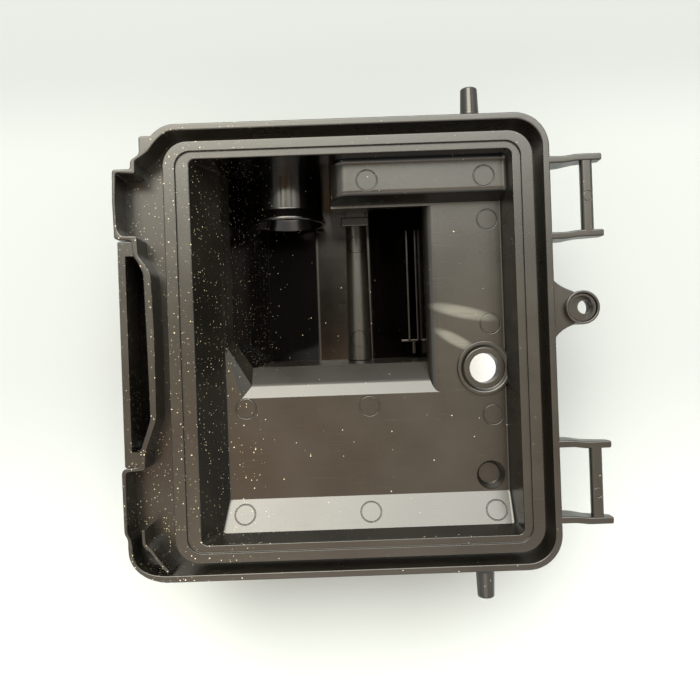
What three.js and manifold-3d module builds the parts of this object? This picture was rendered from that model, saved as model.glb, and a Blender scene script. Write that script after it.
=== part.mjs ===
// Air filter housing of a small engine: an open moulded box that a panel filter sits in.
// Z is 0 on the top edge of the rim and the box opens towards +Z. X runs across the box, from the
// hinge pockets at -X to the latch clevises at +X. The finished group is moved at the end, so that
// its origin is under the middle of the part, on the surface that it stands on.
import * as THREE from 'three';
import { mergeVertices } from 'three/addons/utils/BufferGeometryUtils.js';
import { ConvexGeometry } from 'three/addons/geometries/ConvexGeometry.js';
import Module from 'manifold-3d';

const wasm = await Module();
wasm.setup();

// ---------------------------------------------------------------- driving dimensions, millimetres
const WALL = 2.4;               // wall of the moulding
const GAP = 0.3;                // clearance between neighbouring sections
const FAR = 120;                // beyond the part, for cutting shapes
const ALONG = [-30, 80];        // from end to end of the recess along Y, for cutting shapes

const RIM = { right: 72.3, top: 82, corner: 12.5, wall: 2.5, bottom: -11.7, topLeft: -62, bottomLeft: -68.5 };
const BASE = { top: -12, bottom: -14, holeLeft: -62, holeRight: 63.5, holeTop: 74, holeCorner: 4 };
const SEAT = { x: 66.6, y: 75.9, corner: 9, top: -1, skirt: 2.3, plate: 2.5 };
const STEP = { x: 62.2, y: 72.3, corner: 5.7, top: -2 };
const THROAT = { left: -57.2, right: 59.1, y: 69.6, corner: 2 };
const WALL_TOP = -4.8;          // tub walls hang from under the seat

const FLOOR = { z: -19, left: -49.4, right: 58.2, low: -57, high: 69.2 };
const PANEL = { z: -14, left: -51.7, right: 58.5, low: -68.5 };
const SHELF = { z: -10, left: -6.9, low: 56.4, foot: 54.3, underside: -30 };
const UNDER = 2.5;              // thickness of the tub floor and of the recess floor
const ARM = { low: 30, high: 68.2, topRight: -6.9, right: -8.6 };
const RECESS = { z: -68, left: -37, right: 29, low: -5, high: 59.5 };
const MOUTH = { right: 31.2, low: -17.5, cornerX: -43.6, cornerY: 0.9, high: 53.4 };
const SHOULDER = { z: -27, left: -47.4, right: 30, low: -6.7, cornerX: -40, cornerY: 4.5, high: 54.4 };
const SPINE = { z: -55, left: -14.5, right: 8.5, foot: 1, footZ: -68.6, deep: -76 };
const RIDGE = { x: 2.9, radius: 5.2, low: -4.9, high: 52, capWidth: 12, capLength: 3.4, capHeight: 4.6 };
const GUIDE = { x: [24.5, 28.2], width: 1.2, low: 2, high: 50, top: -52, bottom: -69 };

const OUTLET = { x: -25, z: -41.5, bore: 11.6, radius: 13.8, flare: 15.2, inner: 52, outer: 83.7 };
const FLANGE = { halfX: 25, halfZ: 15.6, corner: 8, from: 84, thick: 4, hole: 3.2, spacing: 39 };
const SEAL = { inner: 13, section: 1.2, seat: 0.3 };

const BOSS = { x: 49.8, y: -9.7, radius: 10.3, lip: 9.1, top: -16.8, seat: -18.1, bottom: -25 };
const BUSH = { head: 8.2, headThick: 0.9, body: 7, bore: 5.7, bottom: -25 };
const BOSS_HOLE = 7.3;          // hole in the floor boss that holds the bush
const CUP = { x: 51.1, y: -50.8, mouth: 5.3, bottom: 4.4, wall: 1.6, top: -19.3, depth: -24 };

const EAR = { root: 72.6, tip: 90.8, thick: 2.5, rootDepth: 12, tipDepth: 3.6 };
const JOG = { by: 0.6, from: 78, to: 82 };
const EAR_Y = { outer: 64.5, inner: 37.3 };
const BAR = { x: 85.4, width: 4.2, height: 3.5, y: 51.25, length: 23.4 };
const PIN = { x: 45, z: -5.4, root: 3.35, tip: 3.05, from: 82.3, to: 92.6, chamfer: 0.8 };
const LUG = { x: 82.6, y: 11.4, top: -3.4, bottom: -6.6, radius: 6.3, rootHigh: 22.2, rootLow: -0.6 };
const EYE = { radius: 6.1, counter: 5.2, top: -0.8, bottom: -8.4 };
const EYE_BUSH = { radius: 4.9, step: 4.2, bore: 2.5, shift: 1.5 };

const DUCT = { left: -84.2, right: -70.6, high: 37.5, low: -37.5, top: -14.3, bottom: -46, mouth: 22 };
const SLOT = { outer: -83.6, inner: -80.9, high: 35.3, low: -35, land: 40.3, landX: -78.4, top: -0.8 };
const HINGE = { split: -76.6, upper: [40, 69], lower: [-72, -41] };
const SLOT_WALL = { split: -70.5, reach: 44 };
const CORNER_RIB = { wall: 1.2, top: -0.6 };
const CORNER_POCKET = { wall: 1.2, bottom: -34 };

// ---------------------------------------------------------------- the two outlines of the rim wall
const HINGE_SIDE_OUTER = [
  [-70.2, 78], [-74.5, 78], [-74.5, 71.6], [-77.8, 69.5], [-77.8, 66.4], [-84.4, 66.4], [-84.7, 55],
  [-84.4, 41.4], [-78.4, 40.8], [-77.9, 35.2], [-76.4, 33.1], [-74.5, 28.7], [-74.1, 8.3], [-73.8, -12],
  [-73.7, -23.5], [-77.6, -34.8], [-78.2, -40.3], [-83.3, -40.7], [-84.6, -41.9], [-84.4, -64.2],
  [-83.2, -66.1], [-83.2, -70.3],
];
const HINGE_SIDE_INNER = [
  [-69.6, 74.6], [-71.4, 72.2], [-74.7, 70], [-76.1, 69.2], [-76.1, 64.5], [-83.1, 65.2], [-83.5, 55],
  [-83.2, 45], [-81.8, 42.6], [-76.2, 42.4], [-76, 35.2], [-74.2, 33], [-71.7, 28.6], [-71.2, 8.2],
  [-71.3, -12], [-71.5, -23.6], [-75.7, -34.9], [-76.1, -41.6], [-83.1, -42.1], [-83.2, -64], [-81.8, -66.8],
  [-81.6, -70],
];
const CORNER_RIB_LINE = [
  [-77.8, -63], [-77.6, -68.6], [-75, -70.8], [-73.2, -73.6], [-70.9, -76.6], [-69.2, -78.4],
];
const CRESCENT = [
  [-78.6, -67.6], [-81, -67.9], [-80.1, -71.5], [-78.4, -74.1], [-75.6, -76.9], [-72.1, -79.1], [-70, -79.7],
  [-71.9, -77.2], [-74.2, -74.2], [-75.9, -71.6], [-78.4, -69.4],
];

// ---------------------------------------------------------------- materials
const blackPlastic = { color: 0x0c0b0a, roughness: 0.34, metalness: 0 };
const darkRubber = { color: 0x141414, roughness: 0.75, metalness: 0 };

// ---------------------------------------------------------------- geometry helpers
function solid(geometry) {
  const bare = geometry.clone();
  bare.deleteAttribute('normal');
  bare.deleteAttribute('uv');
  const merged = mergeVertices(bare, 1e-4);
  return new wasm.Manifold(new wasm.Mesh({
    numProp: 3,
    vertProperties: new Float32Array(merged.attributes.position.array),
    triVerts: new Uint32Array(merged.index.array),
  }));
}

function surface(body) {
  const mesh = body.getMesh();
  const geometry = new THREE.BufferGeometry();
  geometry.setAttribute('position', new THREE.BufferAttribute(new Float32Array(mesh.vertProperties), 3));
  geometry.setIndex(Array.from(mesh.triVerts));
  geometry.computeVertexNormals();
  return geometry;
}

function block(x0, x1, y0, y1, z0, z1) {
  const geometry = new THREE.BoxGeometry(x1 - x0, y1 - y0, z1 - z0);
  return solid(geometry.translate((x0 + x1) / 2, (y0 + y1) / 2, (z0 + z1) / 2));
}

function slab(shape, low, high, segments = 8) {
  const options = { depth: high - low, bevelEnabled: false, curveSegments: segments };
  return solid(new THREE.ExtrudeGeometry(shape, options).translate(0, 0, low));
}

function hull(...rings) {
  const points = rings.flatMap(([z, corners]) => corners.map(([x, y]) => new THREE.Vector3(x, y, z)));
  return solid(new ConvexGeometry(points));
}

function polygon(corners) {
  return new THREE.Shape(corners.map(([x, y]) => new THREE.Vector2(x, y)));
}

function rectangle(x0, x1, y0, y1) {
  return [[x0, y0], [x1, y0], [x1, y1], [x0, y1]];
}

function drum(x, y, z0, z1, radius, lower = radius, segments = 40) {
  const geometry = new THREE.CylinderGeometry(radius, lower, z1 - z0, segments);
  return solid(geometry.rotateX(Math.PI / 2).translate(x, y, (z0 + z1) / 2));
}

// A drum along Y: radius at its low end and at its high end.
function roller(x, z, y0, y1, low, high = low, segments = 40) {
  const geometry = new THREE.CylinderGeometry(high, low, y1 - y0, segments);
  return solid(geometry.translate(x, (y0 + y1) / 2, z));
}

function roundedRectangle(x0, x1, y0, y1, radius) {
  const shape = new THREE.Shape();
  shape.moveTo(x0 + radius, y0);
  shape.absarc(x1 - radius, y0 + radius, radius, -Math.PI / 2, 0);
  shape.absarc(x1 - radius, y1 - radius, radius, 0, Math.PI / 2);
  shape.absarc(x0 + radius, y1 - radius, radius, Math.PI / 2, Math.PI);
  shape.absarc(x0 + radius, y0 + radius, radius, Math.PI, Math.PI * 1.5);
  return shape;
}

function frameSlab(outer, inner, low, high) {
  return slab(outer, low, high).subtract(slab(inner, low - 1, high + 1));
}

// The rim's outline: straight on three sides, and the stepped hinge side from a list of corners.
function rimOutline(inset, hingeSide) {
  const { topLeft, bottomLeft } = RIM;
  const right = RIM.right - inset;
  const top = RIM.top - inset;
  const radius = RIM.corner - inset;
  const start = hingeSide[0];
  const end = hingeSide[hingeSide.length - 1];
  const shape = new THREE.Shape();
  shape.moveTo(bottomLeft, -top);
  shape.absarc(right - radius, -top + radius, radius, -Math.PI / 2, 0);
  shape.absarc(right - radius, top - radius, radius, 0, Math.PI / 2);
  shape.lineTo(topLeft, top);
  shape.quadraticCurveTo(start[0] + 4, top, start[0], start[1]);
  hingeSide.slice(1).forEach(([x, y]) => shape.lineTo(x, y));
  shape.bezierCurveTo(end[0], end[1] - 7, bottomLeft - 8, -top, bottomLeft, -top);
  return shape;
}

// A cut can leave thin slivers beside the piece that is wanted: only the piece is kept.
function largest(body) {
  return body.decompose().reduce((best, piece) => (piece.volume() > best.volume() ? piece : best));
}

const housing = new THREE.Group();

function place(name, body, finish = blackPlastic) {
  const mesh = new THREE.Mesh(surface(body), new THREE.MeshStandardMaterial(finish));
  mesh.name = name;
  housing.add(mesh);
  return mesh;
}

// ---------------------------------------------------------------- rim wall, hinge pockets, channel floor
const outerOutline = rimOutline(0, HINGE_SIDE_OUTER);
const innerOutline = rimOutline(RIM.wall, HINGE_SIDE_INNER);

function addRim() {
  const wall = frameSlab(outerOutline, innerOutline, RIM.bottom, 0);
  const pocket = ([y0, y1], gap) => block(-FAR, HINGE.split - gap, y0 + gap, y1 - gap, -FAR, FAR);
  const beside = block(-FAR, SLOT_WALL.split, -SLOT_WALL.reach, SLOT_WALL.reach, -FAR, FAR);
  const room = (range) => pocket(range, 0).translate(GAP, 0, 0);
  const between = wall.subtract(room(HINGE.upper)).subtract(room(HINGE.lower));
  place('rim_wall', between.subtract(beside));
  place('slot_side_wall', between.intersect(beside));
  place('upper_hinge_pocket', wall.intersect(pocket(HINGE.upper, GAP).translate(GAP, 0, 0)));
  place('lower_hinge_pocket', wall.intersect(pocket(HINGE.lower, GAP).translate(GAP, 0, 0)));

  const opening = roundedRectangle(BASE.holeLeft, BASE.holeRight, -BASE.holeTop, BASE.holeTop,
    BASE.holeCorner);
  const plate = frameSlab(outerOutline, opening, BASE.bottom, BASE.top);
  place('channel_floor', plate.subtract(slab(polygon(CRESCENT), -FAR, FAR)));

  const { wall: thick, bottom } = CORNER_POCKET;
  const edge = (z) => grown([z, CRESCENT], thick);
  const cup = hull(edge(bottom), edge(BASE.bottom - GAP));
  place('corner_pocket', cup.subtract(slab(polygon(CRESCENT), bottom + thick, FAR)));
}

function ribbon(line, wall) {
  const centre = line.map(([x, y]) => new THREE.Vector2(x, y));
  const side = (sign) => centre.map((point, i) => {
    const before = centre[Math.max(i - 1, 0)];
    const after = centre[Math.min(i + 1, centre.length - 1)];
    const along = after.clone().sub(before).normalize();
    return new THREE.Vector2(point.x - along.y * sign * wall / 2, point.y + along.x * sign * wall / 2);
  });
  return new THREE.Shape([...side(1), ...side(-1).reverse()]);
}

function addCornerRib() {
  const rib = slab(ribbon(CORNER_RIB_LINE, CORNER_RIB.wall), RIM.bottom, CORNER_RIB.top);
  const clear = HINGE_SIDE_INNER.map(([x, y]) => [x + GAP, y]);
  const room = slab(rimOutline(RIM.wall + GAP, clear), -FAR, FAR);
  place('corner_rib', rib.intersect(room));
}

// ---------------------------------------------------------------- seat that the filter panel lies on
function addSeat() {
  const outer = roundedRectangle(-SEAT.x, SEAT.x, -SEAT.y, SEAT.y, SEAT.corner);
  const skirtInner = roundedRectangle(-SEAT.x + SEAT.skirt, SEAT.x - SEAT.skirt,
    -SEAT.y + SEAT.skirt, SEAT.y - SEAT.skirt, SEAT.corner - SEAT.skirt);
  const step = roundedRectangle(-STEP.x, STEP.x, -STEP.y, STEP.y, STEP.corner);
  const throat = roundedRectangle(THROAT.left, THROAT.right, -THROAT.y, THROAT.y, THROAT.corner);
  const body = slab(outer, RIM.bottom, SEAT.top)
    .subtract(slab(skirtInner, -FAR, STEP.top - SEAT.plate))
    .subtract(slab(step, STEP.top, FAR))
    .subtract(slab(throat, -FAR, FAR));
  place('filter_seat_frame', body);
}

// ---------------------------------------------------------------- tub and recess: one shell, cut into walls
// Moves every corner of a ring away from the ring's middle, along X and along Y.
function grown([z, corners], by) {
  const middleX = corners.reduce((sum, [x]) => sum + x / corners.length, 0);
  const middleY = corners.reduce((sum, [, y]) => sum + y / corners.length, 0);
  return [z, corners.map(([x, y]) => [x + Math.sign(x - middleX) * by, y + Math.sign(y - middleY) * by])];
}

// One hull between each ring and the next, joined.
function stacked(rings) {
  const stages = rings.slice(1).map((ring, i) => hull(rings[i], ring));
  return stages.reduce((whole, stage) => whole.add(stage));
}

function cornered({ left, right, low, high, cornerX, cornerY }) {
  return [[left, cornerY], [cornerX, low], [right, low], [right, high], [left, high]];
}

const tubRings = [
  [STEP.top, rectangle(THROAT.left, THROAT.right, -THROAT.y, THROAT.y)],
  [PANEL.z, rectangle(PANEL.left, PANEL.right, PANEL.low, FLOOR.high)],
  [FLOOR.z, rectangle(FLOOR.left, FLOOR.right, FLOOR.low, FLOOR.high)],
];
const recessRings = [
  [FLOOR.z, cornered({ ...MOUTH, left: FLOOR.left })],
  [SHOULDER.z, cornered(SHOULDER)],
  [RECESS.z, rectangle(RECESS.left, RECESS.right, RECESS.low, RECESS.high)],
];
const armRings = [
  [FLOOR.z, rectangle(FLOOR.left, ARM.topRight, ARM.low, FLOOR.high)],
  [RECESS.z, rectangle(RECESS.left, ARM.right, ARM.low, ARM.high)],
];
const BOTTOM_DRAW = 0.6;        // the outside leans in a little below a floor

function outerShape(rings) {
  const [lowest, corners] = rings[rings.length - 1];
  const base = grown([lowest - UNDER, corners], WALL - BOTTOM_DRAW);
  return stacked([...rings.map((ring) => grown(ring, WALL)), base]);
}

// A prism along Y from a section in X and Z.
function prism(section, [y0, y1] = ALONG) {
  const geometry = new THREE.ExtrudeGeometry(polygon(section), { depth: y1 - y0, bevelEnabled: false });
  return solid(geometry.rotateX(Math.PI / 2).translate(0, y1, 0));
}

function spineSection(drop) {
  const left = RECESS.left - SPINE.foot + 2 * drop;
  const right = RECESS.right + SPINE.foot - 2 * drop;
  return [[SPINE.left + drop, SPINE.z - drop], [SPINE.right - drop, SPINE.z - drop],
    [right, SPINE.footZ], [right, SPINE.deep], [left, SPINE.deep], [left, SPINE.footZ]];
}

const spine = prism(spineSection(0));
const shelfBlock = hull(
  [SHELF.z, rectangle(SHELF.left, FAR, SHELF.low, FAR)],
  [FLOOR.z, rectangle(SHELF.left, FAR, SHELF.foot, FAR)],
);

function tubShell() {
  const outside = outerShape(tubRings).add(outerShape(recessRings)).add(outerShape(armRings));
  const tub = stacked(tubRings).subtract(shelfBlock);
  const recess = stacked(recessRings).add(stacked(armRings)).subtract(spine);
  const join = 0.05;
  const recessTop = hull([FLOOR.z + join, recessRings[0][1]], recessRings[0])
    .add(hull([FLOOR.z + join, armRings[0][1]], armRings[0]));
  const underShelf = block(SHELF.left + WALL, FLOOR.right - 2, SHELF.low + WALL, FLOOR.high - 1.2,
    SHELF.underside, SHELF.z - WALL);
  const underSpine = prism(spineSection(UNDER));
  const outletHole = roller(OUTLET.x, OUTLET.z, RECESS.high, OUTLET.outer, OUTLET.radius + GAP);
  return outside.subtract(tub).subtract(recess).subtract(recessTop)
    .subtract(underShelf.subtract(outerShape(recessRings)).subtract(outerShape(armRings)))
    .subtract(underSpine).subtract(outletHole);
}

function addTub() {
  const shell = tubShell();
  const under = FLOOR.z - UNDER;
  const left = FLOOR.left + GAP;
  const right = FLOOR.right - GAP;
  const bottom = FLOOR.low - 0.2;
  const region = (x0, x1, y0, y1, z0, z1) => largest(shell.intersect(block(x0, x1, y0, y1, z0, z1)));
  place('tub_left_wall', region(-FAR, left, -FAR, FAR, under, WALL_TOP));
  place('tub_right_wall', region(right, FAR, -FAR, FAR, under, WALL_TOP));
  place('tub_upper_wall', region(left + GAP, right - GAP, FLOOR.high - 0.4, FAR, under, WALL_TOP));
  place('tub_lower_wall', region(left + GAP, right - GAP, -FAR, PANEL.low + 0.6, PANEL.z + GAP, WALL_TOP));
  place('sloped_end_panel', region(left + GAP, right - GAP, -FAR, bottom, under - 1, PANEL.z));
  place('top_shelf', region(SHELF.left - 0.1, right - GAP, MOUTH.high, FLOOR.high - 0.7, under, FAR));

  const bossHole = drum(BOSS.x, BOSS.y, -FAR, FAR, BOSS.radius + GAP);
  const cupHole = drum(CUP.x, CUP.y, -FAR, FAR, CUP.mouth + CUP.wall + GAP);
  const plate = region(left + GAP, right - GAP, bottom + GAP, MOUTH.high - GAP, under, FLOOR.z + 1);
  place('tub_floor', largest(plate.subtract(bossHole).subtract(cupHole)));

  const low = RECESS.z - UNDER;
  const sideX = [RECESS.left - 3, RECESS.right - 0.2];
  const rampTop = RECESS.low - 0.2;
  place('recess_left_wall', region(-FAR, sideX[0], -FAR, FAR, low, under - GAP));
  place('recess_right_wall', region(sideX[1], FAR, -FAR, FAR, low, under - GAP));
  place('recess_ramp', region(sideX[0] + GAP, sideX[1] - GAP, -FAR, rampTop, low, under - GAP));
  const upper = region(sideX[0] + GAP, sideX[1] - GAP, MOUTH.high + 0.1, FAR, low, under - GAP);
  place('recess_upper_wall', largest(upper.subtract(prism(spineSection(-GAP)))));
  const floor = region(sideX[0] + GAP, sideX[1] - GAP, rampTop + GAP, ARM.high - GAP, low, SPINE.z + 1);
  place('recess_floor', largest(floor.intersect(spine)));
}

function addRecessDetails() {
  const rod = roller(RIDGE.x, SPINE.z + GAP, RIDGE.low, RIDGE.high, RIDGE.radius);
  const above = block(-FAR, FAR, -FAR, FAR, SPINE.z + GAP, FAR);
  place('recess_ridge', rod.intersect(above));
  const cap = rectangle(RIDGE.x - RIDGE.capWidth / 2, RIDGE.x + RIDGE.capWidth / 2,
    RIDGE.high + GAP, RIDGE.high + GAP + RIDGE.capLength);
  place('ridge_end_cap', slab(polygon(cap), SPINE.z + GAP, SPINE.z + GAP + RIDGE.capHeight));
  const room = stacked(recessRings.map((ring) => grown(ring, -GAP))).subtract(prism(spineSection(-GAP)));
  GUIDE.x.forEach((x, i) => {
    const half = GUIDE.width / 2;
    const rib = block(x - half, x + half, GUIDE.low, GUIDE.high, GUIDE.bottom, GUIDE.top);
    place(`guide_rib_${i + 1}`, rib.intersect(room));
  });
}

// ---------------------------------------------------------------- outlet to the carburettor
function addOutlet() {
  const { x, z, bore, radius, flare, inner, outer } = OUTLET;
  const tube = roller(x, z, inner, outer, radius).add(roller(x, z, inner, inner + 4, flare, radius));
  const flow = roller(x, z, inner - 1, outer + 1, bore)
    .add(roller(x, z, inner - 0.01, inner + 3, flare - 1.4, bore));
  place('outlet_tube', tube.subtract(flow));

  const outline = roundedRectangle(-FLANGE.halfX, FLANGE.halfX, -FLANGE.halfZ, FLANGE.halfZ, FLANGE.corner);
  const groove = drum(0, 0, FLANGE.thick - 0.9, FLANGE.thick + 1, SEAL.inner + 2 * SEAL.section)
    .subtract(drum(0, 0, 0, FLANGE.thick + 2, SEAL.inner));
  const through = (across, hole, segments) => drum(across, 0, -1, FLANGE.thick + 1, hole, hole, segments);
  const flange = slab(outline, 0, FLANGE.thick).subtract(through(0, bore, 40)).subtract(groove)
    .subtract(through(-FLANGE.spacing / 2, FLANGE.hole, 24))
    .subtract(through(FLANGE.spacing / 2, FLANGE.hole, 24));
  const faceUp = (mesh, y) => {
    mesh.rotation.x = -Math.PI / 2;
    mesh.position.set(x, y, z);
  };
  faceUp(place('outlet_flange', flange), FLANGE.from);

  const middle = SEAL.inner + SEAL.section;
  const ring = new THREE.TorusGeometry(middle, SEAL.section - SEAL.seat, 10, 40);
  faceUp(place('outlet_seal_ring', solid(ring), darkRubber), FLANGE.from + FLANGE.thick + 0.3);
}

// ---------------------------------------------------------------- bosses in the floor
function addBosses() {
  const room = block(-FAR, FLOOR.right - 0.9, -FAR, FAR, -FAR, FAR);
  const boss = drum(BOSS.x, BOSS.y, BOSS.bottom, BOSS.top, BOSS.radius)
    .subtract(drum(BOSS.x, BOSS.y, BOSS.seat, FAR, BOSS.lip))
    .subtract(drum(BOSS.x, BOSS.y, -FAR, FAR, BOSS_HOLE));
  place('floor_boss', boss.intersect(room));
  const headTop = BOSS.seat + GAP + BUSH.headThick;
  const bush = drum(BOSS.x, BOSS.y, BUSH.bottom, headTop, BUSH.body)
    .add(drum(BOSS.x, BOSS.y, BOSS.seat + GAP, headTop, BUSH.head))
    .subtract(drum(BOSS.x, BOSS.y, -FAR, FAR, BUSH.bore));
  place('floor_boss_bush', bush.intersect(room));

  const { mouth, bottom, wall, top, depth } = CUP;
  const cup = drum(CUP.x, CUP.y, depth - wall, top + GAP, mouth + wall, bottom + wall)
    .subtract(drum(CUP.x, CUP.y, depth, top + GAP + 0.01, mouth, bottom));
  place('blind_pocket', cup.intersect(room).intersect(block(-FAR, FAR, FLOOR.low + 0.4, FAR, -FAR, FAR)));
}

// ---------------------------------------------------------------- latch clevises, pivot pins, fixing eye
function earBody() {
  const { root, tip, thick, rootDepth, tipDepth } = EAR;
  const half = thick / 2;
  const outline = polygon([
    [root, -half], [JOG.from, -half], [JOG.to, -half + JOG.by], [tip, -half + JOG.by],
    [tip, half + JOG.by], [JOG.to, half + JOG.by], [JOG.from, half], [root, half],
  ]);
  const taper = hull([-rootDepth - 5, rectangle(root - 1, tip + 1, -9, 9)],
    [-rootDepth, rectangle(root - 1, root, -9, 9)], [-tipDepth, rectangle(tip, tip + 1, -9, 9)]);
  return slab(outline, -rootDepth, 0).subtract(taper);
}

function addClevises() {
  const ear = earBody();
  const ears = [
    ['upper_clevis_upper_ear', EAR_Y.outer, 1], ['upper_clevis_lower_ear', EAR_Y.inner, 1],
    ['lower_clevis_upper_ear', -EAR_Y.inner, -1], ['lower_clevis_lower_ear', -EAR_Y.outer, -1],
  ];
  ears.forEach(([name, y, side]) => {
    const mesh = place(name, side > 0 ? ear : ear.mirror([0, 1, 0]));
    mesh.position.y = y;
  });
  [['upper_latch_bar', 1], ['lower_latch_bar', -1]].forEach(([name, side]) => {
    const bar = slab(roundedRectangle(-BAR.width / 2, BAR.width / 2, -BAR.height, 0, 1.1), 0, BAR.length, 4);
    const mesh = place(name, bar);
    mesh.rotation.x = Math.PI / 2;
    mesh.position.set(BAR.x, side * BAR.y + BAR.length / 2, 0);
  });
}

function addPivotPins() {
  const length = PIN.to - PIN.from;
  const profile = [
    [0, 0], [PIN.root, 0], [PIN.tip, length - PIN.chamfer], [PIN.tip - PIN.chamfer, length], [0, length],
  ];
  const pin = solid(new THREE.LatheGeometry(profile.map(([r, y]) => new THREE.Vector2(r, y)), 32));
  [['upper_pivot_pin', 1], ['lower_pivot_pin', -1]].forEach(([name, side]) => {
    const mesh = place(name, pin);
    mesh.rotation.x = side > 0 ? 0 : Math.PI;
    mesh.position.set(PIN.x, side * PIN.from, PIN.z);
  });
}

function addFixingEye() {
  const root = RIM.right + GAP;
  const web = new THREE.Shape();
  web.moveTo(root, LUG.rootLow);
  web.quadraticCurveTo(root + 0.4, LUG.rootLow + 3, root + 3, LUG.rootLow + 4);
  web.absarc(LUG.x, LUG.y, LUG.radius, -2, 2);
  web.lineTo(root + 3, LUG.rootHigh - 3.2);
  web.quadraticCurveTo(root + 0.6, LUG.rootHigh - 2, root, LUG.rootHigh);
  const boss = drum(LUG.x, LUG.y, EYE.bottom, EYE.top, EYE.radius);
  const counter = drum(LUG.x, LUG.y, EYE.bottom + 2, FAR, EYE.counter);
  const lower = drum(LUG.x, LUG.y, -FAR, FAR, EYE_BUSH.step - 0.6);
  place('fixing_eye_lug', slab(web, LUG.bottom, LUG.top).add(boss).subtract(counter).subtract(lower));
  const bush = drum(LUG.x, LUG.y, EYE.bottom + 2 + GAP, EYE.top - 0.9, EYE_BUSH.radius)
    .subtract(drum(LUG.x, LUG.y, EYE.bottom + 4.4, FAR, EYE_BUSH.step))
    .subtract(drum(LUG.x + EYE_BUSH.shift, LUG.y + 0.2, -FAR, FAR, EYE_BUSH.bore));
  place('fixing_eye_bush', bush);
}

// ---------------------------------------------------------------- intake slot and its duct on the hinge side
function addIntake() {
  const frame = block(SLOT.outer, SLOT.landX - GAP, -SLOT.land, SLOT.land, BASE.bottom, SLOT.top);
  const slot = block(SLOT.inner, FAR, SLOT.low, SLOT.high, -FAR, FAR);
  const clear = HINGE_SIDE_OUTER.map(([x, y]) => [x - GAP, y]);
  const wallRoom = slab(rimOutline(-GAP, clear), -FAR, FAR);
  place('intake_slot_frame', frame.subtract(slot).subtract(wallRoom));

  const { left, right, high, low, top, bottom, mouth } = DUCT;
  const duct = block(left, right, low, high, bottom, top)
    .subtract(block(left + 2, right - 2, low + 2, high - 2, bottom + 2, FAR))
    .subtract(block(left + 2, right - 2, low - 1, low + 3, bottom + 2, bottom + 2 + mouth));
  place('intake_duct', duct);
}

addRim();
addCornerRib();
addSeat();
addTub();
addRecessDetails();
addOutlet();
addBosses();
addClevises();
addPivotPins();
addFixingEye();
addIntake();

// ---------------------------------------------------------------- origin under the middle of the part
const bounds = new THREE.Box3().setFromObject(housing);
const middle = bounds.getCenter(new THREE.Vector3());
housing.position.set(-middle.x, -middle.y, -bounds.min.z);

export default housing;
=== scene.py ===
# %% [markdown]
# An open plastic box that holds the panel air filter of a small engine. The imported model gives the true
# size and place of every section. This script makes a finer skin for each of them, with the rounded
# edges, pin marks and satin finish that a moulded box has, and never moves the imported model.

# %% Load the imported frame
import math
import bmesh
import bpy
from mathutils import Matrix, Vector


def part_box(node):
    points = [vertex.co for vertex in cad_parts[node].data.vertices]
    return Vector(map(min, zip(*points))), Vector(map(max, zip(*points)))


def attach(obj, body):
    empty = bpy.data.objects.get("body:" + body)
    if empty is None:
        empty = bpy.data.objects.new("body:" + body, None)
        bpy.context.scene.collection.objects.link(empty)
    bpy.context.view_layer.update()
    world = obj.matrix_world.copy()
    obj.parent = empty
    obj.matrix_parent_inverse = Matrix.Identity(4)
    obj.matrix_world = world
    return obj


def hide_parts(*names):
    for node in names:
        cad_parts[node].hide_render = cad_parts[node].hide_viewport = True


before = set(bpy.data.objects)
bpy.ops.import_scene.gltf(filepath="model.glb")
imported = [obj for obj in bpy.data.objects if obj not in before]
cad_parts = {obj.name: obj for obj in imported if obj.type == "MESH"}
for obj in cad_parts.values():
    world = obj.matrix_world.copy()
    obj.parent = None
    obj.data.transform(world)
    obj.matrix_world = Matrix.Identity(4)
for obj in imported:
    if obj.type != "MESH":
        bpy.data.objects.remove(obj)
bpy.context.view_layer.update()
scene = bpy.context.scene

# %% [markdown]
# A mould maker measures from the top edge of the rim, at the middle of the filter seat. The skins are
# modelled in millimetres from that point, and one matrix takes a finished skin into the frame.

# %% Work in millimetres from the middle of the rim's top edge
seat_low, seat_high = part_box("filter_seat_frame")
rim_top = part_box("rim_wall")[1].z
origin = Vector(((seat_low.x + seat_high.x) / 2, (seat_low.y + seat_high.y) / 2, rim_top))
TO_FRAME = Matrix.Translation(origin) @ Matrix.Scale(0.001, 4)
print("origin of the design, mm:", [round(v * 1000, 2) for v in origin])

# %% [markdown]
# The camera hangs straight above the box, a quarter of a metre over the rim, and is turned two degrees
# about its own axis. A level camera keeps the rim's sides parallel, and the short distance shows the
# inside of the deep recess in perspective.

# %% Camera
CAMERA_PLACE = Vector((-1.47, -1.02, 250))
CAMERA_ROLL = -0.035

camera = bpy.data.objects.new("camera", bpy.data.cameras.new("camera"))
camera.data.lens = 36
camera.data.sensor_width = 36
camera.data.clip_start = 0.01
camera.location = TO_FRAME @ CAMERA_PLACE
camera.rotation_euler = (0, 0, CAMERA_ROLL)
scene.collection.objects.link(camera)
scene.camera = camera
scene.view_settings.view_transform = "Standard"
print("camera height over the rim, mm:", CAMERA_PLACE.z)

# %% [markdown]
# Light, table and plastic are all made of shader nodes. They could be wired by hand in the editor. A few
# helpers keep the wiring short here, and every node that they make can still be opened there.

# %% A little kit for shader nodes
def node(tree, kind, inputs=None, **settings):
    made = tree.nodes.new(kind)
    for key, value in settings.items():
        setattr(made, key, value)
    for key, value in (inputs or {}).items():
        socket = made.inputs[key]
        if isinstance(value, bpy.types.NodeSocket):
            tree.links.new(value, socket)
        else:
            socket.default_value = value
    return made


def math_node(tree, operation, a, b=0.0, c=0.0, clamp=False):
    made = node(tree, "ShaderNodeMath", {0: a, 1: b, 2: c}, operation=operation, use_clamp=clamp)
    return made.outputs[0]


def times(tree, a, b):
    return math_node(tree, "MULTIPLY", a, b)


def squared(tree, value):
    return math_node(tree, "POWER", value, 2.0)


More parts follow.
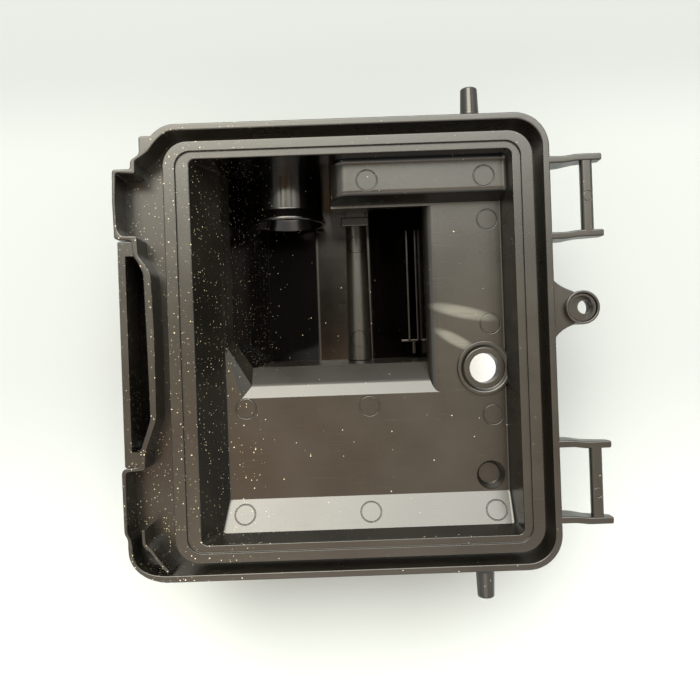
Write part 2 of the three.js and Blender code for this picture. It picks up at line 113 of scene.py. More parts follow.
def ramp(tree, value, stops):
    made = node(tree, "ShaderNodeValToRGB", {"Fac": value})
    made.color_ramp.interpolation = "LINEAR"
    elements = made.color_ramp.elements
    while len(elements) < len(stops):
        elements.new(0.5)
    for element, (place, colour) in zip(elements, stops):
        element.position = place
        element.color = (*colour, 1)
    return made.outputs["Color"]


def mix_colour(tree, factor, a, b, blend="MIX"):
    made = node(tree, "ShaderNodeMix", {0: factor, 6: a, 7: b}, data_type="RGBA", blend_type=blend)
    return made.outputs[2]


def smooth_range(tree, value, start, end):
    made = node(tree, "ShaderNodeMapRange", {"Value": value, "From Min": start, "From Max": end},
                interpolation_type="SMOOTHSTEP")
    return made.outputs["Result"]


print("shader helpers ready")

# %% [markdown]
# Black plastic shows its surroundings more than its own colour, so the light decides how it looks. Lamps
# would leave hard spots on it. A gradient in the world gives soft reflections from every side. Along Y
# it is dim and warm overhead, with a wide window that leans towards +Y. It grows towards the hinges.

# %% Light: the window
WINDOW_GLOW = 14.0
HINGE_SIDE_GAIN = (1.5, 1.45, 1.35, 1)
SKY_STOPS = [
    (-75, (0.07, 0.07, 0.065)), (-45, (0.09, 0.085, 0.08)), (-28, (0.24, 0.225, 0.21)),
    (-20, (0.2, 0.18, 0.16)), (-15, (0.085, 0.058, 0.038)), (-9, (0.125, 0.076, 0.04)),
    (-1, (0.12, 0.078, 0.045)), (7, (0.16, 0.14, 0.11)), (14, (0.38, 0.37, 0.32)),
    (22, (0.85, 0.84, 0.77)), (45, (1.0, 0.98, 0.9)), (60, (0.3, 0.3, 0.28)), (80, (0.07, 0.07, 0.07))]

world = bpy.data.worlds.new("studio")
world.use_nodes = True
scene.world = world
sky = world.node_tree
sky.nodes.clear()
direction = node(sky, "ShaderNodeTexCoord").outputs["Generated"]
parts = node(sky, "ShaderNodeSeparateXYZ", {0: direction}).outputs
lean = math_node(sky, "ARCTAN2", parts["Y"], parts["Z"])
lean_share = math_node(sky, "MULTIPLY_ADD", lean, 1 / math.pi, 0.5, clamp=True)
stops = [(0.5 + degrees / 180, colour) for degrees, colour in SKY_STOPS]
gradient = ramp(sky, lean_share, stops)
towards_hinges = smooth_range(sky, parts["X"], 0.1, -0.2)
gradient = mix_colour(sky, towards_hinges, gradient, HINGE_SIDE_GAIN, blend="MULTIPLY")
print("sky stops:", len(SKY_STOPS))

# %% [markdown]
# Upright walls and round bosses reflect the room beside the window. It is dim there, with one warm strip
# towards the latches and two darker bands, so that walls read darker than floors. A nearly black patch
# hangs overhead, and the horizon is a pale wall. Edges are parts of a direction, from 0 to 1.

# %% Light: the room beside the window
BESIDE_WINDOW = (0.11, 0.108, 0.1, 1)
WARM_STRIP, STRIP_EDGES = (0.19, 0.165, 0.125, 1), (0.04, 0.12, 0.28, 0.2)
DIM_BANDS = [((0.2, 0.25, 0.33, 0.28), (0.055, 0.05, 0.042, 1)),
             ((-0.24, -0.3, -0.42, -0.36), (0.055, 0.052, 0.048, 1))]
DARK_PATCH, DARK_PLACE = (0.004, 0.003, 0.002, 1), (-0.08, 0.09)
PALE_WALL = (0.9, 0.91, 0.88, 1)


def band(edges):
    """One between the second edge and the fourth, and zero beyond the first and the third."""
    rise = smooth_range(sky, parts["X"], *edges[:2])
    return times(sky, rise, smooth_range(sky, parts["X"], *edges[2:]))


beside = smooth_range(sky, math_node(sky, "ABSOLUTE", parts["X"]), 0.3, 0.6)
window = mix_colour(sky, beside, gradient, BESIDE_WINDOW)
off_middle = math_node(sky, "ABSOLUTE", parts["Y"])
strip = times(sky, band(STRIP_EDGES), smooth_range(sky, off_middle, 0.25, 0.12))
window = mix_colour(sky, strip, window, WARM_STRIP)
level = smooth_range(sky, off_middle, 0.32, 0.22)
for edges, dim in DIM_BANDS:
    window = mix_colour(sky, times(sky, band(edges), level), window, dim, blend="DARKEN")
patch_x = squared(sky, math_node(sky, "SUBTRACT", parts["X"], DARK_PLACE[0]))
patch_y = squared(sky, math_node(sky, "SUBTRACT", parts["Y"], DARK_PLACE[1]))
from_patch = math_node(sky, "SQRT", math_node(sky, "ADD", patch_x, patch_y))
window = mix_colour(sky, smooth_range(sky, from_patch, 0.17, 0.1), window, DARK_PATCH)
glow = node(sky, "ShaderNodeBackground", {"Color": window, "Strength": WINDOW_GLOW})
plain = node(sky, "ShaderNodeBackground", {"Color": PALE_WALL, "Strength": 1.0})
low_down = smooth_range(sky, parts["Z"], 0.35, 0.12)
blended = node(sky, "ShaderNodeMixShader", {0: low_down, 1: glow.outputs[0], 2: plain.outputs[0]})
node(sky, "ShaderNodeOutputWorld", {"Surface": blended.outputs[0]})
print("dim bands beside the window:", len(DIM_BANDS))

# %% [markdown]
# The box stands on its recess, on a pale table. Its paint holds painted light and shade. The window would
# bleach an even paint at one end, so the paint fades along Y: darker at the far end as painted shade, and
# palest on the near side as painted light where the box's shadow falls. A small patch under the hole in
# the floor boss is painted light, almost white, so that the hole reads as open. An image could do this,
# but a few soft ramps need no file.

# %% Table
TABLE_HALF = 1.5
UNDER_HOLE = (0.0563, -0.0113)
MIDDLE_PAINT = (0.228, 0.248, 0.262, 1)
# Painted light: the near paint is paler where the box's shadow falls. Painted shade: the far paint is
# darker.
NEAR_PAINTED_LIGHT = (0.325, 0.353, 0.365, 1)
FAR_PAINTED_SHADE = (0.185, 0.203, 0.217, 1)
# Painted light: an almost white patch on the table under the hole.
PAINTED_LIGHT_UNDER_HOLE = (0.95, 0.95, 0.95, 1)

table_mesh = bpy.data.meshes.new("table")
corners = [(x * TABLE_HALF, y * TABLE_HALF, 0) for x, y in ((-1, -1), (1, -1), (1, 1), (-1, 1))]
table_mesh.from_pydata(corners, [], [(0, 1, 2, 3)])
table = bpy.data.objects.new("table", table_mesh)
scene.collection.objects.link(table)

paint = bpy.data.materials.new("table_painted_light_and_shade")
paint.use_nodes = True
tree = paint.node_tree
shader = tree.nodes["Principled BSDF"]
place = node(tree, "ShaderNodeTexCoord").outputs["Object"]
along = node(tree, "ShaderNodeSeparateXYZ", {0: place}).outputs["Y"]
# Painted light near the box and painted shade at the far end, both as ramps along Y.
near_painted_light_mask = smooth_range(tree, along, 0.0, -0.14)
far = smooth_range(tree, along, 0.085, 0.135)
colour = mix_colour(tree, near_painted_light_mask, MIDDLE_PAINT, NEAR_PAINTED_LIGHT)
colour = mix_colour(tree, far, colour, FAR_PAINTED_SHADE)
from_hole = node(tree, "ShaderNodeVectorMath", {0: place, 1: (*UNDER_HOLE, 0)}, operation="DISTANCE")
# Painted light: a soft white patch under the hole in the floor boss.
painted_light_patch = smooth_range(tree, from_hole.outputs["Value"], 0.016, 0.01)
tree.links.new(mix_colour(tree, painted_light_patch, colour, PAINTED_LIGHT_UNDER_HOLE), shader.inputs["Base Color"])
shader.inputs["Roughness"].default_value = 0.7
table_mesh.materials.append(paint)
print("table:", TABLE_HALF * 2, "m wide")

# %% [markdown]
# The moulding is a closed solid with even walls, and each skin has to be closed too, so that it can be
# cut. Modifiers could be left live on every object. They are applied at once instead, because the next
# cut then works on plain, clean mesh. Loose duplicates are merged after every step.

# %% Mesh tools
def new_object(name, mesh):
    made = bpy.data.objects.new(name, mesh)
    scene.collection.objects.link(made)
    return made


def tidy_mesh(obj, flat=0.0):
    solid = bmesh.new()
    solid.from_mesh(obj.data)
    bmesh.ops.remove_doubles(solid, verts=solid.verts, dist=1e-4)
    if flat:
        bmesh.ops.dissolve_limit(solid, angle_limit=flat, verts=solid.verts, edges=solid.edges)
    bmesh.ops.recalc_face_normals(solid, faces=solid.faces)
    solid.to_mesh(obj.data)
    solid.free()
    return obj


def from_faces(name, points, faces):
    mesh = bpy.data.meshes.new(name)
    mesh.from_pydata([tuple(p) for p in points], [], faces)
    return tidy_mesh(new_object(name, mesh))


def apply_modifiers(obj):
    graph = bpy.context.evaluated_depsgraph_get()
    mesh = bpy.data.meshes.new_from_object(obj.evaluated_get(graph))
    obj.modifiers.clear()
    obj.data = mesh
    return obj


ROUND_SEGMENTS, ROUND_ANGLE = 5, math.radians(30)


def round_edges(obj, width):
    bevel = obj.modifiers.new("round", "BEVEL")
    bevel.width = width
    bevel.segments = ROUND_SEGMENTS
    bevel.limit_method = "ANGLE"
    bevel.angle_limit = ROUND_ANGLE
    bevel.use_clamp_overlap = True
    return apply_modifiers(obj)


def boolean(obj, tool, operation, keep_tool=False):
    step = obj.modifiers.new("boolean", "BOOLEAN")
    step.object = tool
    step.operation = operation
    step.solver = "MANIFOLD"
    apply_modifiers(obj)
    if not keep_tool:
        bpy.data.objects.remove(tool)
    return obj


def cut(obj, tool, keep_tool=False):
    return boolean(obj, tool, "DIFFERENCE", keep_tool)


def join(obj, *others):
    for other in others:
        boolean(obj, other, "UNION")
    return obj


def copy_of(obj, name):
    return new_object(name, obj.data.copy())


def turned(obj, matrix):
    obj.data.transform(matrix)
    return obj


print("mesh tools ready")

# %% [markdown]
# The box is built from a few simple solids. A plate is a flat outline with its holes, filled as a curve,
# whose bevel rounds both edges in the same step. A loft joins rings of equally many points, a hull wraps
# points, and a lathe turns a profile. Primitives could be added with operators, but points given here
# stay exact.

# %% Simple solids
def plate(name, outlines, low, high, edge=0.35):
    curve = bpy.data.curves.new(name, "CURVE")
    curve.dimensions = "2D"
    curve.fill_mode = "BOTH"
    curve.extrude = (high - low) / 2 - edge
    curve.bevel_depth = edge
    curve.bevel_resolution = ROUND_SEGMENTS
    curve.offset = -edge
    for outline in outlines:
        spline = curve.splines.new("POLY")
        spline.points.add(len(outline) - 1)
        for point, (x, y) in zip(spline.points, outline):
            point.co = (x, y, 0, 1)
        spline.use_cyclic_u = True
    drawing = new_object(name, curve)
    graph = bpy.context.evaluated_depsgraph_get()
    mesh = bpy.data.meshes.new_from_object(drawing.evaluated_get(graph))
    bpy.data.objects.remove(drawing)
    mesh.transform(Matrix.Translation((0, 0, (low + high) / 2)))
    return tidy_mesh(new_object(name, mesh))


def block(name, x0, x1, y0, y1, z0, z1):
    points = [(x, y, z) for z in (z0, z1) for x, y in ((x0, y0), (x1, y0), (x1, y1), (x0, y1))]
    faces = [(3, 2, 1, 0), (4, 5, 6, 7), (0, 1, 5, 4), (1, 2, 6, 5), (2, 3, 7, 6), (3, 0, 4, 7)]
    return from_faces(name, points, faces)


def hull(name, points):
    solid = bmesh.new()
    for point in points:
        solid.verts.new(point)
    bmesh.ops.convex_hull(solid, input=solid.verts)
    loose = [v for v in solid.verts if not v.link_faces]
    bmesh.ops.delete(solid, geom=loose, context="VERTS")
    mesh = bpy.data.meshes.new(name)
    solid.to_mesh(mesh)
    solid.free()
    return tidy_mesh(new_object(name, mesh), flat=math.radians(0.5))


def loft(name, rings, closed=False):
    size = len(rings[0])
    points = [p for ring in rings for p in ring]
    pairs = [(i, i + 1) for i in range(len(rings) - 1)] + ([(len(rings) - 1, 0)] if closed else [])
    faces = []
    for a, b in pairs:
        for k in range(size):
            n = (k + 1) % size
            faces.append((a * size + k, a * size + n, b * size + n, b * size + k))
    if not closed:
        faces.append(tuple(reversed(range(size))))
        faces.append(tuple((len(rings) - 1) * size + k for k in range(size)))
    return from_faces(name, points, faces)


def lathe(name, profile, steps=64, closed=False):
    """Turns a profile of (radius, height) about Z. A closed profile makes a ring."""
    rings = []
    for radius, height in profile:
        turns = [2 * math.pi * k / steps for k in range(steps)]
        rings.append([(radius * math.cos(a), radius * math.sin(a), height) for a in turns])
    return loft(name, rings, closed)


print("solids ready: plate, block, hull, loft, lathe")

# %% [markdown]
# Outlines are plain lists of points in millimetres. Arcs make the round corners, and Bezier curves the
# free ones. They could be drawn as spline objects. Computed points let two nested outlines match point
# for point, and that is what a loft needs.

# %% Outlines
def arc(x, y, radius, start, end, steps=10):
    turns = [math.radians(start + (end - start) * k / steps) for k in range(steps + 1)]
    return [(x + radius * math.cos(a), y + radius * math.sin(a)) for a in turns]


def circle(x, y, radius, steps=48):
    return arc(x, y, radius, 0, 360, steps)[:-1]


def curved(points, steps=10):
    """A Bezier curve of any degree through its control points."""
    degree = len(points) - 1
    made = []
    for k in range(steps + 1):
        t = k / steps
        weights = [math.comb(degree, i) * t ** i * (1 - t) ** (degree - i) for i in range(degree + 1)]
        made.append(tuple(sum(w * p[axis] for w, p in zip(weights, points)) for axis in (0, 1)))
    return made


def rounded_box(x0, x1, y0, y1, radius, steps=10):
    left, right, low, high = x0 + radius, x1 - radius, y0 + radius, y1 - radius
    made = []
    for quarter, (x, y) in enumerate(((right, low), (right, high), (left, high), (left, low))):
        made.extend(arc(x, y, radius, 90 * quarter - 90, 90 * quarter, steps))
    return made


def softened(points, reach, steps=6, closed=False):
    """Rounds each corner of a line; reach is how far along its sides the rounding starts."""
    made = []
    count = len(points)
    for i, here in enumerate(points):
        if not closed and i in (0, count - 1):
            made.append(tuple(here))
            continue
        before, after = Vector(points[i - 1]), Vector(points[(i + 1) % count])
        corner = Vector(here)
        one = corner + (before - corner).normalized() * min(reach, (before - corner).length * 0.45)
        two = corner + (after - corner).normalized() * min(reach, (after - corner).length * 0.45)
        made.extend(curved([tuple(one), tuple(corner), tuple(two)], steps))
    return made


def ring_at(outline, z):
    return [(x, y, z) for x, y in outline]


print("outline tools ready")

# %% [markdown]
# The box is one black plastic: a satin skin that copies the polished mould, so its gloss wanders a
# little, it has a faint orange peel, and fine drawing lines run along X. Moulding dust has settled on
# the hinge side. An image texture would need unwrapping, so the patterns are noise in Object
# coordinates, which are the frame's own metres.

# %% Moulded plastic
SCRATCHES = 0.35
DUST_COLOUR = (0.5, 0.44, 0.3, 1)
FILM_COLOUR = (0.075, 0.075, 0.062, 1)
PEEL_DEPTH, FINE_DEPTH = 0.0002, 0.00002


def plastic(name, base, light, gloss, dust=0.0, film=False):
    made = bpy.data.materials.new(name)
    made.use_nodes = True
    tree = made.node_tree
    shader = tree.nodes["Principled BSDF"]
    place = node(tree, "ShaderNodeTexCoord").outputs["Object"]
    cloud = node(tree, "ShaderNodeTexNoise", {"Vector": place, "Scale": 45.0, "Detail": 4.0}).outputs["Fac"]
    fine = node(tree, "ShaderNodeTexNoise", {"Vector": place, "Scale": 900.0, "Detail": 2.0}).outputs["Fac"]
    stretch = node(tree, "ShaderNodeMapping", {"Vector": place, "Scale": (12.0, 420.0, 160.0)}).outputs[0]
    streaks = node(tree, "ShaderNodeTexNoise", {"Vector": stretch, "Scale": 6.0, "Detail": 3.0})
    lines = streaks.outputs["Fac"]
    scratch = smooth_range(tree, lines, 0.62, 0.78)
    colour = mix_colour(tree, smooth_range(tree, cloud, 0.3, 0.75), (*base, 1), (*light, 1))
    pale = (*(v * 2.2 for v in light), 1)
    colour = mix_colour(tree, times(tree, scratch, SCRATCHES), colour, pale)
    rough = math_node(tree, "MULTIPLY_ADD", cloud, 0.12, gloss - 0.06)
    rough = math_node(tree, "MULTIPLY_ADD", scratch, 0.08, rough)
    if dust:
        speck = dust_specks(tree, place, dust)
        colour = mix_colour(tree, speck, colour, DUST_COLOUR)
        rough = math_node(tree, "MULTIPLY_ADD", speck, 0.5, rough)
    if film:
        wiped = wiped_film(tree, place, lines)
        colour = mix_colour(tree, wiped, colour, FILM_COLOUR)
        rough = math_node(tree, "MULTIPLY_ADD", wiped, 0.2, rough)
    bump = node(tree, "ShaderNodeBump", {"Height": fine, "Strength": 0.25, "Distance": FINE_DEPTH})
    peel = node(tree, "ShaderNodeBump", {"Height": cloud, "Strength": 0.4, "Distance": PEEL_DEPTH,
                                         "Normal": bump.outputs[0]})
    tree.links.new(colour, shader.inputs["Base Color"])
    tree.links.new(rough, shader.inputs["Roughness"])
    tree.links.new(peel.outputs[0], shader.inputs["Normal"])
    shader.inputs["IOR"].default_value = 1.5
    return made


print("plastic ready, scratches", SCRATCHES)

# %% [markdown]
# Dust lies on the moulding as tiny pale grains, most of them on the hinge side. Thousands of small
# objects would be slow, so every grain is one cell of a Voronoi pattern: its colour decides by chance
# whether there is a grain, how far it reaches and how pale it is.

# %% Dust
DUST_SCALE = 950.0


def dust_specks(tree, place, amount):
    cells = node(tree, "ShaderNodeTexVoronoi", {"Vector": place, "Scale": DUST_SCALE})
    chance = node(tree, "ShaderNodeSeparateXYZ", {0: cells.outputs["Color"]}).outputs
    across = node(tree, "ShaderNodeSeparateXYZ", {0: place}).outputs["X"]
    side = smooth_range(tree, across, -0.028, -0.048)
    share = math_node(tree, "MULTIPLY_ADD", side, 0.62 * amount, 0.04 * amount)
    picked = math_node(tree, "LESS_THAN", chance["X"], share)
    reach = math_node(tree, "MULTIPLY_ADD", chance["Y"], 0.17, 0.07)
    inside = math_node(tree, "LESS_THAN", cells.outputs["Distance"], reach)
    pale = math_node(tree, "MULTIPLY_ADD", chance["Z"], 0.7, 0.1)
    return times(tree, times(tree, picked, inside), pale)


print("dust cells to a metre:", DUST_SCALE)

# %% [markdown]
# A finger left two dull swipes on the tub floor. They could be thin extra meshes, but a film has no
# thickness. Each one is a soft ellipse, measured along and across its own direction, and broken up by
# the drawing lines of the plastic.

# %% Wiped marks
SWIPES = [(39.4, 12, 15, 2.9, -13), (36.4, 1.3, 10.5, 2.6, -29)]


def wiped_film(tree, place, streaks):
    """Reads the swipes: middle in millimetres, half length, half width and turn in degrees."""
    parts = node(tree, "ShaderNodeSeparateXYZ", {0: place}).outputs
    total = 0.0
    for x, y, length, width, turn in SWIPES:
        c, s = math.cos(math.radians(turn)), math.sin(math.radians(turn))
        across = math_node(tree, "SUBTRACT", parts["X"], x / 1000)
        up = math_node(tree, "SUBTRACT", parts["Y"], y / 1000)
        along = math_node(tree, "MULTIPLY_ADD", across, c, times(tree, up, s))
        off = math_node(tree, "MULTIPLY_ADD", across, -s, times(tree, up, c))
        far = math_node(tree, "ADD", squared(tree, times(tree, along, 1000 / length)),
                        squared(tree, times(tree, off, 1000 / width)))
        total = math_node(tree, "ADD", total, smooth_range(tree, far, 1.0, 0.1))
    on_top = smooth_range(tree, parts["Z"], 0.048, 0.0505)
    streaky = math_node(tree, "MULTIPLY_ADD", streaks, 0.9, 0.35, clamp=True)
    return math_node(tree, "MULTIPLY", times(tree, total, on_top), streaky, clamp=True)


print("swipes:", len(SWIPES))

# %% [markdown]
# One recipe gives every finish of the box. The open faces are satin and dusty, the bushes and small
# pockets are cleaner, and the deep recess is smoother, as it comes off a polished core. Its colour is
# painted darker still, as painted shade of the deep recess. The seal ring is dull rubber. Separate
# recipes would drift apart.

# %% Finishes
BLACK = (0.005, 0.0045, 0.0035)
WORN = (0.009, 0.008, 0.006)
# Painted shade: this near-black colour darkens the pieces inside the deep recess.
DEEP_PAINTED_SHADE = (0.0004, 0.0003, 0.0002)
PLASTIC = plastic("moulded_plastic", BLACK, WORN, 0.28, dust=1.0)
WIPED = plastic("wiped_moulded_plastic", BLACK, WORN, 0.28, dust=0.6, film=True)
CLEAN = plastic("clean_moulded_plastic", BLACK, WORN, 0.26, dust=0.12)
POLISHED_WITH_PAINTED_SHADE = plastic("polished_plastic_with_painted_shade", DEEP_PAINTED_SHADE, (0.001, 0.0008, 0.0006), 0.15, dust=0.9)
SEAL = plastic("seal_rubber", (0.02, 0.02, 0.02), (0.035, 0.035, 0.035), 0.7)
print("materials:", [m.name for m in bpy.data.materials])

# %% [markdown]
# Every finished skin goes through one function. It moves the mesh into the frame, shades it smooth
# between sharp edges, lets the large flat faces rule the normals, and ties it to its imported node.

# %% Finish a skin
SHARP = 20
made_pieces = []


def finish(obj, *nodes, slot="moulding", finish_material=None):
    tidy_mesh(obj)
    obj.data.transform(TO_FRAME)
    obj.data.polygons.foreach_set("use_smooth", [True] * len(obj.data.polygons))
    obj.data.set_sharp_from_angle(angle=math.radians(SHARP))
    weighted = obj.modifiers.new("flat_faces_rule", "WEIGHTED_NORMAL")
    weighted.keep_sharp = True
    apply_modifiers(obj)
    obj.name = "moulded_" + nodes[0] if slot == "moulding" else "fine_" + nodes[0]
    obj.data.materials.clear()
    obj.data.materials.append(finish_material or PLASTIC)
    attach(obj, "root")
    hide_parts(*nodes)
    made_pieces.append(obj)
    return obj


print("edges sharper than", SHARP, "degrees stay sharp")

# %% [markdown]
# The rim is a wall round the whole box. Three sides are straight with round corners. The hinge side
# steps in and out round two pockets and an air slot, so its two outlines are listed corner by corner.
# A solidified ribbon would be shorter, but the real wall changes its thickness there.

# %% Rim outlines
RIM_RIGHT, RIM_TOP, RIM_CORNER, RIM_WALL = 72.3, 82, 12.5, 2.5
BASE_TOP, BASE_BOTTOM = -12, -14
TOP_START, BOTTOM_END = -62, -68.5
HINGE_SIDE_OUTER = [
    (-70.2, 78), (-74.5, 78), (-74.5, 71.6), (-77.8, 69.5), (-77.8, 66.4), (-84.4, 66.4), (-84.7, 55),
    (-84.4, 41.4), (-78.4, 40.8), (-77.9, 35.2), (-76.4, 33.1), (-74.5, 28.7), (-74.1, 8.3), (-73.8, -12),
    (-73.7, -23.5), (-77.6, -34.8), (-78.2, -40.3), (-83.3, -40.7), (-84.6, -41.9), (-84.4, -64.2),
    (-83.2, -66.1), (-83.2, -70.3)]
HINGE_SIDE_INNER = [
    (-69.6, 74.6), (-71.4, 72.2), (-74.7, 70), (-76.1, 69.2), (-76.1, 64.5), (-83.1, 65.2), (-83.5, 55),
    (-83.2, 45), (-81.8, 42.6), (-76.2, 42.4), (-76, 35.2), (-74.2, 33), (-71.7, 28.6), (-71.2, 8.2),
    (-71.3, -12), (-71.5, -23.6), (-75.7, -34.9), (-76.1, -41.6), (-83.1, -42.1), (-83.2, -64),
    (-81.8, -66.8), (-81.6, -70)]


def rim_outline(inset, hinge_side, grow=0.0):
    right, top, radius = RIM_RIGHT - inset, RIM_TOP - inset, RIM_CORNER - inset
    side = [(x - grow, y) for x, y in hinge_side]
    start, end = side[0], side[-1]
    return [*arc(right - radius, -top + radius, radius, -90, 0, 14),
            *arc(right - radius, top - radius, radius, 0, 90, 14),
            *curved([(TOP_START, top), (start[0] + 4, top), start], 8), *softened(side, 1.2)[1:-1],
            *curved([end, (end[0], end[1] - 7), (BOTTOM_END - 8, -top), (BOTTOM_END, -top)], 14)]


outer_rim = rim_outline(0, HINGE_SIDE_OUTER)
inner_rim = rim_outline(RIM_WALL, HINGE_SIDE_INNER)
print("outline points:", len(outer_rim), len(inner_rim))

# %% [markdown]
# The rim is one plate with a hole in it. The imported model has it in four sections, so the plate is cut
# with large blocks where those meet. Four separate plates would show a seam at every end.

# %% Rim wall, cut where its packed sections meet
POCKET_SPLIT = -76.6
FAR = 150


def take(rest, name, box):
    """Cuts the part of a solid that lies in a box out of it, and returns that part."""
    cutter = block("cutter", *box)
    part = boolean(copy_of(rest, name), cutter, "INTERSECT", keep_tool=True)
    cut(rest, cutter)
    return part


rim = plate("rim", [outer_rim, inner_rim], BASE_BOTTOM, 0, edge=0.45)
finish(take(rim, "upper_pocket", (-FAR, POCKET_SPLIT, 40, 69, -FAR, FAR)), "upper_hinge_pocket")
finish(take(rim, "lower_pocket", (-FAR, POCKET_SPLIT, -72, -41, -FAR, FAR)), "lower_hinge_pocket")
finish(take(rim, "slot_side", (-FAR, -70.5, -44, 44, -FAR, FAR)), "slot_side_wall")
finish(rim, "rim_wall")
print("rim sections:", [p.name for p in made_pieces])

# %% [markdown]
# Between the rim and the filter seat runs a flat channel, with a crescent opening and a thin curved rib
# in the lower hinge corner. The floor is a plate with two holes. The rib could be a curve with a bevel,
# but that is round on top. A line that is widened to both sides and made a plate keeps its flat top.

# %% Channel floor and corner rib
CRESCENT = [
    (-78.6, -67.2), (-81.4, -67.4), (-80.9, -71.6), (-79.2, -74.6), (-76.2, -77.6), (-72.3, -79.5),
    (-70, -79.9), (-71.9, -77.2), (-74.2, -74.2), (-75.9, -71.6), (-78.4, -69.4)]
RIB_LINE = [(-77.8, -63), (-77.6, -68.6), (-75, -70.8), (-73.2, -73.6), (-70.9, -76.6), (-69.2, -78.4)]
RIB_WALL = 1.2

channel = rim_outline(RIM_WALL - 0.6, HINGE_SIDE_INNER, grow=0.6)
opening = rounded_box(-62, 63.5, -74, 74, 4)
crescent = softened(CRESCENT, 0.6, closed=True)
floor = plate("channel", [channel, opening, crescent], BASE_BOTTOM + 0.4, BASE_TOP, edge=0.2)
finish(floor, "channel_floor")


def ribbon(line, wall):
    points = [Vector(p) for p in softened(line, 1.5, 5)]
    sides = [[], []]
    for i, point in enumerate(points):
        along = (points[min(i + 1, len(points) - 1)] - points[max(i - 1, 0)]).normalized()
        across = Vector((-along.y, along.x)) * wall / 2
        sides[0].append(tuple(point + across))
        sides[1].append(tuple(point - across))
    return sides[0] + sides[1][::-1]


finish(plate("rib", [ribbon(RIB_LINE, RIB_WALL)], BASE_TOP - 0.5, -0.6, edge=0.3), "corner_rib")
print("channel floor and rib made")

# %% [markdown]
# Under the crescent opening hangs a narrow pocket, closed below. A solidify modifier could thicken the
# crescent, but it folds over at the two tips. A hull round it, hollowed with the same crescent, cannot.

# %% Blind pocket under the crescent opening
POCKET_WALL, POCKET_BOTTOM = 1.2, -34
middle = (sum(x for x, y in CRESCENT) / len(CRESCENT), sum(y for x, y in CRESCENT) / len(CRESCENT))
around = [(x + math.copysign(POCKET_WALL, x - middle[0]), y + math.copysign(POCKET_WALL, y - middle[1]))
          for x, y in CRESCENT]
pocket = hull("pocket", [(x, y, z) for x, y in around for z in (POCKET_BOTTOM, BASE_BOTTOM + 0.5)])
cut(pocket, plate("room", [crescent], POCKET_BOTTOM + POCKET_WALL, 0, edge=0.1))
finish(pocket, "corner_pocket", finish_material=CLEAN)
print("corner pocket made")

# %% [markdown]
# The filter lies on a seat with one step in it. Its section is drawn once, as distance inwards from the
# outer edge against height, and goes round three nested outlines: the edge, the step and the throat. A
# curve bevelled with a profile would do the same, but it pinches in corners of different radius.

# %% Filter seat
SEAT = (-66.6, 66.6, -75.9, 75.9, 9)
STEP = (-62.2, 62.2, -72.3, 72.3, 5.7)
THROAT = (-57.2, 59.1, -69.6, 69.6, 2.2)
SEAT_TOP, STEP_TOP, THROAT_FOOT = -1, -2, -2.7


def seat_ring(inwards, z):
    """Inwards is 0 on the seat's edge, 1 on the step and 2 on the edge of the throat."""
    one, two, share = (SEAT, STEP, inwards) if inwards < 1 else (STEP, THROAT, inwards - 1)
    return ring_at(rounded_box(*(a + (b - a) * share for a, b in zip(one, two))), z)


section = [(0, BASE_BOTTOM), (0, SEAT_TOP), (1, SEAT_TOP), (1, STEP_TOP), (2, STEP_TOP), (2, -5),
           (0.6, -5), (0.6, BASE_BOTTOM)]
ROUNDED_CORNERS = {1: 0.11, 2: 0.07, 3: 0.07, 4: 0.14}
STEP_WIDTH = 4.5
outline = []
for i, (inwards, z) in enumerate(section):
    if i not in ROUNDED_CORNERS:
        outline.append((inwards, z))
        continue
    reach = ROUNDED_CORNERS[i] * STEP_WIDTH
    before, here, after = (Vector((a * STEP_WIDTH, b)) for a, b in section[i - 1:i + 2])
    one = here + (before - here).normalized() * reach
    two = here + (after - here).normalized() * reach
    outline.extend((a / STEP_WIDTH, b) for a, b in curved([tuple(one), tuple(here), tuple(two)], 6))
seat = loft("seat", [seat_ring(inwards, z) for inwards, z in outline], closed=True)
finish(seat, "filter_seat_frame")
print("seat rings:", len(outline))

# %% [markdown]
# Below the seat hangs the tub, with a deep recess in its floor. On the real moulding they are one shell
# of even wall, so it is made as one: outer hulls, less the hollow inside. It is shared out between its
# packed sections afterwards, with flat cuts along its corners, so that no seam shows. Walls made one by
# one would need their slanted ends fitted to each other.

# %% Tub and recess sizes
WALL = 2.4
FLOOR_TOP = -19
PANEL_TOP = -14
FLOOR = (-49.4, 58.2, -57, 69.2)
PANEL = (-51.7, 58.5, -68.5, 69.2)
MOUTH_HIGH, ARM_RIGHT = 53.4, -6.9
RECESS_BOTTOM = -68
RECESS_FLOOR = (-37, 28.8, -5, 59.5)
ARM_HIGH, ARM_FOOT_RIGHT = 68.2, -8.6


def grown(box, by):
    return (box[0] - by, box[1] + by, box[2] - by, box[3] + by)


def rectangle(box):
    return [(box[0], box[2]), (box[1], box[2]), (box[1], box[3]), (box[0], box[3])]


def box_hull(name, levels):
    return hull(name, [p for z, box in levels for p in ring_at(rectangle(box), z)])


print("wall", WALL, "mm, tub floor", FLOOR_TOP, "mm below the rim")

# %% [markdown]
# The outside follows the inside at one wall's distance. Hulls between a few rectangles are enough for
# it. Their edges are rounded before they are joined, while the bevel still finds long clean edges.

# %% Outside of the shell
OUTER_ROUND = 1.6

